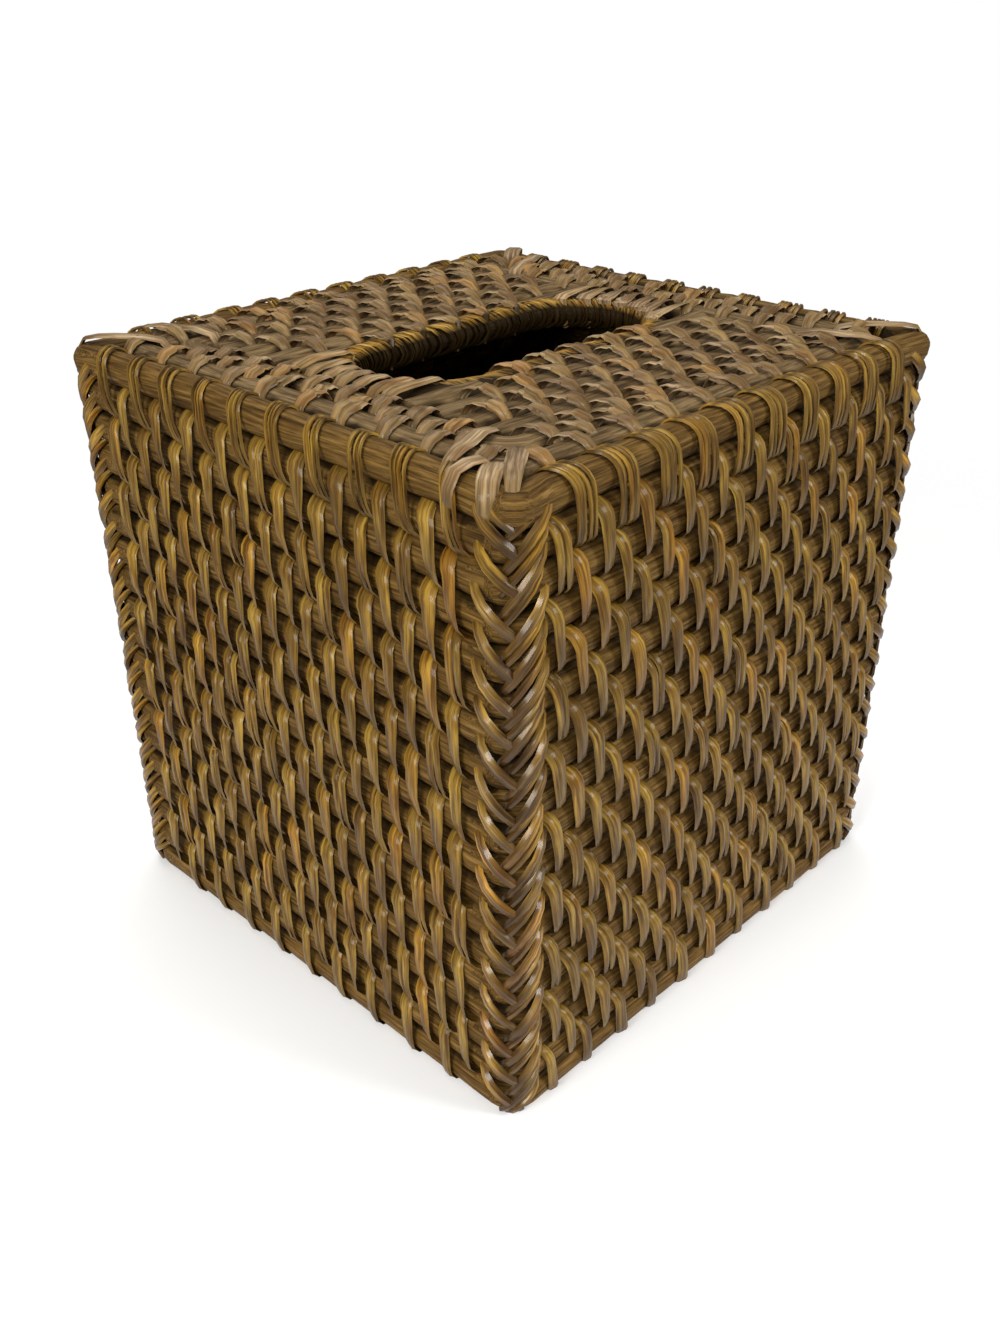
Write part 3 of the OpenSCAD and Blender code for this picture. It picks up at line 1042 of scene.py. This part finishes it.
def hooks_at(places, degrees, distance, width, **style):
    """Such stitches at the given places along a straight rod at that distance from the middle.

    They narrow towards the front and the left, so those behind and on the right are turned round.
    """
    turned = Matrix.Rotation(math.pi if degrees in (90, 180) else 0, 4, "Y")
    parts = []
    for at in places:
        parts += hook(top_place(degrees, distance, at) @ turned, width, **style)
    return parts


def hook_row(degrees, distance, half, row, width, **style):
    """A row of them, moved on by its number times the shift."""
    strips = bpy.context.scene.rattan_strips
    places = stitch_places(half, row * strips.top_shift, strips.top_pitch)
    return hooks_at(places, degrees, distance, width, **style)


def edge_row(degrees, run, distance, width, **style):
    """The row next to the rim, whose stitches meet the strands over the rim."""
    strips = bpy.context.scene.rattan_strips
    places = stitch_places(wall_room(run) + strips.pitch / 4, strips.row_shift, strips.pitch)
    moved = [at + strips.slant * STITCH_WAY[0][1] for at in places]
    return hooks_at(moved, degrees, distance, width, rise=0.6, **style)


def between_row(degrees, distance, half, width, **style):
    """The row over the valley between the two inner rings."""
    return hook_row(degrees, distance + ROD_PITCH / 2, half - MITRE_ROOM / 2, BETWEEN_ROW,
                    width * BETWEEN_WIDTH, **style)


def top_long_parts(degrees):
    """Stitches of the top's front or back, from the rim to the opening."""
    wide = bpy.context.scene.rattan_strips.width * LONG_SIDE_WIDTH
    parts = edge_row(degrees, WALL_X, WALL_Y - ROD_PITCH, wide)
    parts += between_row(degrees, INNER_Y, INNER_X, wide, rise=0.5)
    parts += hook_row(degrees, INNER_Y, INNER_X - MITRE_ROOM, 1, wide)
    for k in range(1, INFILL_RODS + 1):
        parts += hook_row(degrees, INNER_Y - k * INFILL_PITCH, INFILL_HALF - wide / 2, k + 1, wide)
    end = MOUTH_END_FRONT if degrees == 0 else MOUTH_END_BACK
    parts += hook_row(degrees, MOUTH_R, MOUTH_HALF + wide, INFILL_RODS + 2, wide, rise=0.4, end=end)
    return parts


def top_short_parts(degrees):
    """Stitches of the top's left or right, from the rim to the end of the opening."""
    wide = bpy.context.scene.rattan_strips.width * SHORT_SIDE_WIDTH
    parts = edge_row(degrees, WALL_Y, WALL_X - ROD_PITCH, wide, twist=-30)
    parts += between_row(degrees, INNER_X, INNER_Y, wide, twist=-28, rise=0.3)
    parts += hook_row(degrees, INNER_X, INNER_Y - MITRE_ROOM, 1, wide, twist=-28, rise=0.4)
    outer = INNER_X - STRAP_INSET
    style = {"twist": -24, "rise": 0.4, "taper": HOOK_TAPER, "start": MOUTH_START}
    for at in STRAP_PLACES:
        span = outer - MOUTH_HALF - math.sqrt(MOUTH_R ** 2 - at ** 2)
        parts += stitch(span, top_place(degrees, outer, at), wide, STRAP_SLANT, **style)
    return parts


def mitre_parts(turn):
    """Flat bands draped over the bent rods at one corner of the top."""
    strips = bpy.context.scene.rattan_strips
    sign_x, sign_y = corner_signs(turn)
    corner = Vector((sign_x * WALL_X, sign_y * WALL_Y, RIM_Z))
    turned = Matrix.Rotation(math.radians(turn - 180), 3, "Z")
    parts = []
    for number in BANDS_AT[turn]:
        stations = []
        for inward, along, over, width in MITRE_BANDS[number]:
            point = corner + turned @ Vector((inward, along, over)) * MM
            share = len(stations) / len(MITRE_BANDS[number])
            shade = BAND_DARK if share == 0 or over < BAND_SUNK else 1.0
            wide = strips.width * width * BAND_WIDTH
            stations.append(Station(point, wide, 0.0, BAND_THICK, shade, BAND_WEAR_AND_LIGHT * share))
        run = stations[-1].place - stations[0].place
        across = Vector((-run.y, run.x, 0)).normalized()
        blank = strip_blank(len(stations) - 1)
        tone = random.uniform(*BAND_TONES)
        parts.append(wind_strip(blank, stations, across, False, tone, Matrix.Identity(4)))
    return parts


def band_stations(width, lean, clear):
    """A strip once round a rod: over the top it leans to the right on its way out.

    It lies a little inwards and down, so it shows on the inner side and hides over the top.
    """
    reach = strip_reach() + clear
    stations = []
    for k in range(WRAP_STEPS):
        angle = 2 * math.pi * k / WRAP_STEPS
        place = (lean * math.cos(angle), WRAP_ASIDE - reach * math.cos(angle),
                 reach * math.sin(angle) - WRAP_SINK)
        # Outer side: last colour, wear and painted light; inner, lower side: painted shade.
        facing = 0.5 + 0.5 * math.cos(angle)
        shade = profile(WRAP_SHADES, k / WRAP_STEPS)
        stations.append(Station(place, width, 0.0, WRAP_THICK, shade, facing))
    return stations


def mouth_place(side, turn):
    """A place on the rod of the opening, round one of its ends, and the turn of a strip there."""
    spot = Vector((side * (MOUTH_HALF + MOUTH_R * math.cos(turn)), MOUTH_R * math.sin(turn), RIM_Z))
    return spot, math.atan2(spot.y, spot.x - side * MOUTH_HALF) + math.pi / 2


def wrap_places():
    """Places and turns of the thin strips, along the opening's rod and round its ends."""
    step = bpy.context.scene.rattan_strips.wrap_width * WRAP_SPACING
    straight = int(2 * MOUTH_HALF / step)
    curved = int(math.pi * MOUTH_R / step)
    places = []
    for side in (-1, 1):
        for k in range(straight):
            at = -MOUTH_HALF + (k + 0.5) * 2 * MOUTH_HALF / straight
            places.append((Vector((at, side * MOUTH_R, RIM_Z)), 0 if side < 0 else math.pi))
        for k in range(curved):
            places.append(mouth_place(side, -math.pi / 2 + (k + 0.5) * math.pi / curved))
    return places


def wrap_mouth():
    """Thin strips wound closely round the rod of the opening."""
    strips = bpy.context.scene.rattan_strips
    across = Vector((1, 0, 0))
    parts = []
    for spot, turn in wrap_places():
        width = strips.wrap_width * random.uniform(*WRAP_WIDES)
        lean = random.uniform(*WRAP_LEANS) * MM
        clear = random.uniform(*WRAP_CLEARS) * MM
        stations = band_stations(width, lean, clear)
        place = Matrix.Translation(spot) @ Matrix.Rotation(turn, 4, "Z")
        blank = strip_blank(len(stations))
        parts.append(wind_strip(blank, stations, across, True, random.random(), place))
    return parts


# Finishes


def new_material(name):
    """An empty material of that name, its node tree and its shader."""
    material = bpy.data.materials.get(name) or bpy.data.materials.new(name)
    material.use_nodes = True
    tree = material.node_tree
    tree.nodes.clear()
    out = tree.nodes.new("ShaderNodeOutputMaterial")
    shader = tree.nodes.new("ShaderNodeBsdfPrincipled")
    tree.links.new(shader.outputs["BSDF"], out.inputs["Surface"])
    return material, tree, shader


def grain_noise(tree, source, stretch, detail=3.0, roughness=0.6):
    """Noise drawn out along the fibre."""
    mapping = tree.nodes.new("ShaderNodeMapping")
    mapping.inputs["Scale"].default_value = stretch
    tree.links.new(source, mapping.inputs["Vector"])
    texture = tree.nodes.new("ShaderNodeTexNoise")
    texture.inputs["Scale"].default_value = 1.0
    texture.inputs["Detail"].default_value = detail
    texture.inputs["Roughness"].default_value = roughness
    tree.links.new(mapping.outputs["Vector"], texture.inputs["Vector"])
    return texture.outputs["Fac"]


def attribute_value(tree, name):
    """A value that the piece's vertices hold."""
    node = tree.nodes.new("ShaderNodeAttribute")
    node.attribute_name = name
    return node.outputs["Vector" if name == "grain" else "Fac"]


def ramp_node(tree, source, stops):
    """Colours that follow a value, through stops of place and colour."""
    ramp = tree.nodes.new("ShaderNodeValToRGB")
    elements = ramp.color_ramp.elements
    while len(elements) < len(stops):
        elements.new(0.5)
    for element, (at, colour) in zip(elements, stops):
        element.position = at
        element.color = (*colour, 1)
    tree.links.new(source, ramp.inputs["Fac"])
    return ramp.outputs["Color"]


def mix_colours(tree, mode, factor, first, second):
    """Two colours mixed, where each value may be a number, a colour or a node's output."""
    mix = tree.nodes.new("ShaderNodeMix")
    mix.data_type = "RGBA"
    mix.blend_type = mode
    for socket, value in (("Factor", factor), ("A", first), ("B", second)):
        target = next(item for item in mix.inputs if item.name == socket and item.enabled)
        if isinstance(value, bpy.types.NodeSocket):
            tree.links.new(value, target)
        elif isinstance(value, (int, float)):
            target.default_value = value
        else:
            target.default_value = (*value, 1)
    return next(item for item in mix.outputs if item.name == "Result" and item.enabled)


def tint(tree, colour, source, stops, factor=1.0):
    """The colour multiplied by a ramp that follows a value."""
    return mix_colours(tree, "MULTIPLY", factor, colour, ramp_node(tree, source, stops))


def map_range(tree, source, low, high, to_low, to_high):
    """The value carried from one range into another."""
    node = tree.nodes.new("ShaderNodeMapRange")
    node.inputs["From Min"].default_value = low
    node.inputs["From Max"].default_value = high
    node.inputs["To Min"].default_value = to_low
    node.inputs["To Max"].default_value = to_high
    tree.links.new(source, node.inputs["Value"])
    return node.outputs["Result"]


def bump_node(tree, source, depth, strength):
    """Bumps of that depth that follow a value."""
    bump = tree.nodes.new("ShaderNodeBump")
    bump.inputs["Strength"].default_value = strength
    bump.inputs["Distance"].default_value = depth
    tree.links.new(source, bump.inputs["Height"])
    return bump.outputs["Normal"]


def rod_material(name, faded):
    """Brown rattan rod: lengthwise grain, blotches, and painted shade on the sides where rods meet.

    The faded share is how far it has turned to the paler, greyer colour of the top.
    """
    rods = bpy.context.scene.rattan_rods
    material, tree, shader = new_material(name)
    grain, tone, shade = (attribute_value(tree, item) for item in ("grain", "tone", "shade"))
    fibre = grain_noise(tree, grain, stretch=(90, 1500, 1500), detail=4.0, roughness=0.65)
    blotch = grain_noise(tree, grain, stretch=(60, 130, 130), detail=2.0)
    crack = grain_noise(tree, grain, stretch=(30, 1100, 1100), detail=3.0, roughness=0.7)
    colour = ramp_node(tree, fibre, [
        (0.32, rods.colour_dark), (0.5, rods.colour_mid), (0.68, rods.colour_light)])
    colour = tint(tree, colour, crack, CRACK_STOPS, 0.6)
    colour = mix_colours(tree, "MIX", faded, colour, ramp_node(tree, fibre, PALE_STOPS))
    colour = tint(tree, colour, blotch, WARM_STOPS)
    colour = tint(tree, colour, tone, ROD_TONES)
    # Painted shade: the colour darkens where rods meet, by the shade value.
    valley = map_range(tree, shade, *VALLEY_RANGE)
    colour = mix_colours(tree, "MIX", valley, colour, PAINTED_VALLEY_SHADE)
    tree.links.new(colour, shader.inputs["Base Color"])
    tree.links.new(map_range(tree, fibre, *ROD_ROUGHNESS), shader.inputs["Roughness"])
    tree.links.new(bump_node(tree, fibre, ROD_BUMP, 1.0), shader.inputs["Normal"])
    shader.inputs["Specular IOR Level"].default_value = 0.14
    shader.inputs["Specular Tint"].default_value = (1.0, 0.78, 0.48, 1)
    return material


def strip_material(name, dark, mid, light, shade_colour, last, gloss, coat=0.1, specular=0.22):
    """Split rattan strip: ridges along the fibre, tone from strip to strip, painted shade where it dives.

    The last colour is the one it turns to towards its lower end: partly wear, partly painted light and
    shade.
    """
    material, tree, shader = new_material(name)
    grain, tone, shade, tail = (
        attribute_value(tree, item) for item in ("grain", "tone", "shade", "tail"))
    fibre = grain_noise(tree, grain, stretch=(70, 1400, 500), detail=3.0, roughness=0.65)
    blotch = grain_noise(tree, grain, stretch=(110, 240, 100), detail=2.0)
    colour = ramp_node(tree, fibre, [(0.34, dark), (0.5, mid), (0.66, light)])
    groove = [part * END_COLOUR_GROOVE for part in last]
    worn_and_painted_light = ramp_node(tree, fibre, [(0.36, groove), (0.62, last)])
    # The last colour towards the lower end: partly wear, partly painted light and shade.
    colour = mix_colours(tree, "MIX", map_range(tree, tail, *WEAR_AND_LIGHT_RANGE), colour, worn_and_painted_light)
    colour = tint(tree, colour, blotch, STAIN_STOPS)
    colour = tint(tree, colour, tone, STRIP_TONES)
    # Painted shade: the colour turns to the shade colour where the strip dives out of the light.
    colour = mix_colours(tree, "MIX", map_range(tree, shade, *DIVE_SHADE_RANGE), colour, shade_colour)
    tree.links.new(colour, shader.inputs["Base Color"])
    rough = map_range(tree, fibre, 0.3, 0.7, gloss + GROOVE_ROUGHNESS, gloss)
    tree.links.new(rough, shader.inputs["Roughness"])
    tree.links.new(bump_node(tree, fibre, STRIP_BUMP, 0.9), shader.inputs["Normal"])
    shader.inputs["Specular IOR Level"].default_value = specular
    shader.inputs["Specular Tint"].default_value = (1.0, 0.86, 0.58, 1)
    shader.inputs["Coat Weight"].default_value = coat
    shader.inputs["Coat Roughness"].default_value = 0.13
    return material


def wall_strip_material():
    """Golden brown strips of the walls."""
    return strip_material(
        "lashing_strip_finish", dark=(0.060, 0.028, 0.004), mid=(0.160, 0.093, 0.014),
        light=(0.325, 0.208, 0.036), shade_colour=(0.024, 0.011, 0.003), last=(0.144, 0.084, 0.020),
        gloss=0.38, coat=0.14)


def corner_strip_material():
    """Glossier strips of the corner braids, painted darker at their lower ends as shade."""
    return strip_material(
        "corner_strip_finish", dark=(0.055, 0.024, 0.003), mid=(0.165, 0.095, 0.013),
        light=(0.400, 0.240, 0.040), shade_colour=(0.012, 0.005, 0.002), last=(0.075, 0.036, 0.008),
        gloss=0.32, coat=0.25)


def top_strip_material():
    """Greyish brown strips of the top."""
    return strip_material(
        "top_strip_finish", dark=(0.098, 0.061, 0.027), mid=(0.230, 0.158, 0.083),
        light=(0.420, 0.315, 0.188), shade_colour=(0.025, 0.014, 0.006), last=(0.205, 0.130, 0.052),
        gloss=0.45)


def wrap_material():
    """Thin golden strips round the opening, with painted shade, nearly black, on their inner, lower side."""
    return strip_material(
        "edge_wrap_finish", dark=(0.090, 0.045, 0.008), mid=(0.260, 0.152, 0.030),
        light=(0.500, 0.345, 0.110), shade_colour=(0.004, 0.002, 0.001), last=(0.125, 0.082, 0.040),
        gloss=0.40, coat=0.0, specular=0.05)


# Stage


def lay_floor(colour):
    """A plain floor that fades out around the cover."""
    deselect_all()
    bpy.ops.mesh.primitive_plane_add(size=FLOOR_SIZE, location=(0, 0, 0))
    floor = bpy.context.active_object
    floor.name = "floor"
    material, tree, shader = new_material("floor_finish")
    shader.inputs["Base Color"].default_value = (*colour, 1)
    shader.inputs["Roughness"].default_value = 0.9
    place = tree.nodes.new("ShaderNodeTexCoord").outputs["Object"]
    reach = tree.nodes.new("ShaderNodeVectorMath")
    reach.operation = "LENGTH"
    tree.links.new(place, reach.inputs[0])
    clear = tree.nodes.new("ShaderNodeBsdfTransparent")
    mix = tree.nodes.new("ShaderNodeMixShader")
    tree.links.new(map_range(tree, reach.outputs["Value"], *FLOOR_FADE), mix.inputs[0])
    tree.links.new(shader.outputs["BSDF"], mix.inputs[1])
    tree.links.new(clear.outputs["BSDF"], mix.inputs[2])
    out = next(node for node in tree.nodes if node.type == "OUTPUT_MATERIAL")
    tree.links.new(mix.outputs["Shader"], out.inputs["Surface"])
    floor.data.materials.append(material)


def hang_lights():
    """Square soft lights that aim at the middle of the cover."""
    for name, place, size, power in LIGHTS:
        deselect_all()
        bpy.ops.object.light_add(type="AREA", location=place)
        light = bpy.context.active_object
        light.name = name
        light.data.shape = "SQUARE"
        light.data.size = size
        light.data.energy = power
        aim = LIGHT_AIM - Vector(place)
        light.rotation_euler = aim.to_track_quat("-Z", "Y").to_euler()


def light_world():
    """A world that the camera sees white and that lights the cover weakly."""
    scene = bpy.context.scene
    world = scene.world or bpy.data.worlds.new("world")
    scene.world = world
    world.use_nodes = True
    tree = world.node_tree
    tree.nodes.clear()
    out = tree.nodes.new("ShaderNodeOutputWorld")
    mix = tree.nodes.new("ShaderNodeMixShader")
    for socket, strength in ((1, WORLD_LIGHT), (2, WORLD_SEEN)):
        background = tree.nodes.new("ShaderNodeBackground")
        background.inputs["Color"].default_value = (*WHITE, 1)
        background.inputs["Strength"].default_value = strength
        tree.links.new(background.outputs["Background"], mix.inputs[socket])
    path = tree.nodes.new("ShaderNodeLightPath")
    tree.links.new(path.outputs["Is Camera Ray"], mix.inputs["Fac"])
    tree.links.new(mix.outputs["Shader"], out.inputs["Surface"])


def place_camera(stage):
    """The camera at the photograph's viewing angle."""
    turn, rise = stage.view_turn, stage.view_rise
    back = Vector((math.sin(turn) * math.cos(rise), -math.cos(turn) * math.cos(rise), math.sin(rise)))
    place = Vector(stage.view_target) + back * stage.view_distance
    bpy.ops.object.camera_add(location=place)
    camera = bpy.context.active_object
    camera.name = "photo_camera"
    look = (-back).to_track_quat("-Z", "Y").to_matrix().to_4x4()
    roll = Matrix.Rotation(stage.view_roll, 4, "Z")
    camera.matrix_world = Matrix.Translation(place) @ look @ roll
    camera.data.sensor_fit = "AUTO"
    camera.data.sensor_width = SENSOR
    camera.data.lens = SENSOR * stage.focal_share
    camera.data.clip_start = 0.01
    bpy.context.scene.camera = camera


# Operators


class RATTAN_OT_wall_courses(bpy.types.Operator):
    """Bend the rod of every wall course round the four corners"""
    bl_idname = "rattan.wall_courses"
    bl_label = "Wall Courses"

    def execute(self, context):
        seed_all(11)
        bend = context.scene.rattan_rods.bend_radius
        material = rod_material("rattan_rod_finish", 0.0)
        for number, node in enumerate(COURSES, 1):
            height = COURSE_Z[number]
            rod = ring_rod(node + "_rod", WALL_X, WALL_Y, height, bend)
            weather_rod(rod, height, number, WALL_NEIGHBOURS,
                        lambda point: ring_middle(point, WALL_X, WALL_Y, bend))
            keep_above_floor(rod)
            finish_rod(rod, node, material)
        return {"FINISHED"}


class RATTAN_OT_top_rods(bpy.types.Operator):
    """Bend the rim, the rings and the rod of the opening, and lay the straight rods of the top"""
    bl_idname = "rattan.top_rods"
    bl_label = "Top Rods"

    def execute(self, context):
        seed_all(12)
        faded = rod_material("faded_rod_finish", TOP_FADED)
        brown = rod_material("rim_rod_finish", 0.0)
        for inside, node in enumerate(TOP_RINGS):
            lay_ring(node, inside, faded if inside else brown)
        for node, side in (("top_front_rods", -1), ("top_back_rods", 1)):
            lines = [(len(TOP_RINGS) - 1 + k, side * (INNER_Y - k * INFILL_PITCH))
                     for k in range(1, INFILL_RODS + 1)]
            lay_straight_rods(node, node + "_bundle", -INFILL_HALF, INFILL_HALF, lines, faded)
        for node in ("mouth_infill_left", "mouth_infill_right"):
            low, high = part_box(node)
            lines = [(MOUTH_ROW, -MOUTH_R), (MOUTH_ROW, MOUTH_R)]
            lay_straight_rods(node, node + "_pair", low.x, high.x, lines, faded)
        lay_mouth_rod(faded)
        return {"FINISHED"}


class RATTAN_OT_wall_lashing(bpy.types.Operator):
    """Lash every course to the rod above it"""
    bl_idname = "rattan.wall_lashing"
    bl_label = "Wall Lashing"

    def execute(self, context):
        seed_all(21)
        material = wall_strip_material()
        for row in range(1, len(COURSE_Z)):
            node = "wall_lashing_%02d" % row
            piece = finish_strips(lash_row(row), node + "_strips", material)
            keep_above_floor(piece)
            hand_in(piece, node)
        drop_blanks()
        return {"FINISHED"}


class RATTAN_OT_corner_lashing(bpy.types.Operator):
    """Braid the strips down the four corners"""
    bl_idname = "rattan.corner_lashing"
    bl_label = "Corner Lashing"

    def execute(self, context):
        seed_all(22)
        material = corner_strip_material()
        close_ends(strip_blank(len(CORNER_ARM) - 1))
        for name, turn in CORNERS:
            node = "corner_lashing_" + name
            piece = finish_strips(braid_corner(turn), node + "_braid", material)
            keep_above_floor(piece)
            hand_in(piece, node)
        drop_blanks()
        return {"FINISHED"}


class RATTAN_OT_top_lashing(bpy.types.Operator):
    """Lash the rods of the top and its four mitres"""
    bl_idname = "rattan.top_lashing"
    bl_label = "Top Lashing"

    def execute(self, context):
        seed_all(23)
        material = top_strip_material()
        close_ends(strip_blank(len(MITRE_BANDS[0]) - 1))
        for name, degrees, _, _ in WALLS:
            node = "top_lashing_" + name
            long_side = name in ("front", "back")
            parts = top_long_parts(degrees) if long_side else top_short_parts(degrees)
            hand_in(finish_strips(parts, node + "_strips", material), node)
        for name, turn in CORNERS:
            node = "mitre_lashing_" + name
            hand_in(finish_strips(mitre_parts(turn), node + "_strips", material), node)
        drop_blanks()
        return {"FINISHED"}


class RATTAN_OT_opening_wrap(bpy.types.Operator):
    """Wind thin strips round the rod of the opening"""
    bl_idname = "rattan.opening_wrap"
    bl_label = "Opening Wrap"

    def execute(self, context):
        seed_all(24)
        piece = finish_strips(wrap_mouth(), "opening_wrap_strips", wrap_material())
        hand_in(piece, "opening_wrap")
        drop_blanks()
        return {"FINISHED"}


class RATTAN_OT_stage(bpy.types.Operator):
    """Set the floor, the light and the camera"""
    bl_idname = "rattan.stage"
    bl_label = "Stage"

    def execute(self, context):
        stage = context.scene.rattan_stage
        lay_floor(stage.floor_colour)
        hang_lights()
        light_world()
        place_camera(stage)
        context.scene.view_settings.view_transform = "Standard"
        return {"FINISHED"}


STEPS = (
    RATTAN_OT_stage, RATTAN_OT_wall_courses, RATTAN_OT_top_rods, RATTAN_OT_wall_lashing,
    RATTAN_OT_corner_lashing, RATTAN_OT_top_lashing, RATTAN_OT_opening_wrap,
)
SETTINGS = (RattanRodSettings, RattanStripSettings, RattanStageSettings)


class RATTAN_PT_cover(bpy.types.Panel):
    """The steps that make the cover, in order"""
    bl_idname = "RATTAN_PT_cover"
    bl_label = "Rattan Cover"
    bl_space_type = "VIEW_3D"
    bl_region_type = "UI"
    bl_category = "Rattan Cover"

    def draw(self, context):
        for step in STEPS:
            self.layout.operator(step.bl_idname)


def register():
    for item in SETTINGS + STEPS + (RATTAN_PT_cover,):
        bpy.utils.register_class(item)
    bpy.types.Scene.rattan_rods = bpy.props.PointerProperty(type=RattanRodSettings)
    bpy.types.Scene.rattan_strips = bpy.props.PointerProperty(type=RattanStripSettings)
    bpy.types.Scene.rattan_stage = bpy.props.PointerProperty(type=RattanStageSettings)


def unregister():
    del bpy.types.Scene.rattan_rods
    del bpy.types.Scene.rattan_strips
    del bpy.types.Scene.rattan_stage
    for item in reversed(SETTINGS + STEPS + (RATTAN_PT_cover,)):
        bpy.utils.unregister_class(item)


def main():
    register()
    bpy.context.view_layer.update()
    bpy.ops.rattan.stage()
    bpy.ops.rattan.wall_courses()
    bpy.ops.rattan.top_rods()
    bpy.ops.rattan.wall_lashing()
    bpy.ops.rattan.corner_lashing()
    bpy.ops.rattan.top_lashing()
    bpy.ops.rattan.opening_wrap()
    deselect_all()


if __name__ == "__main__":
    main()
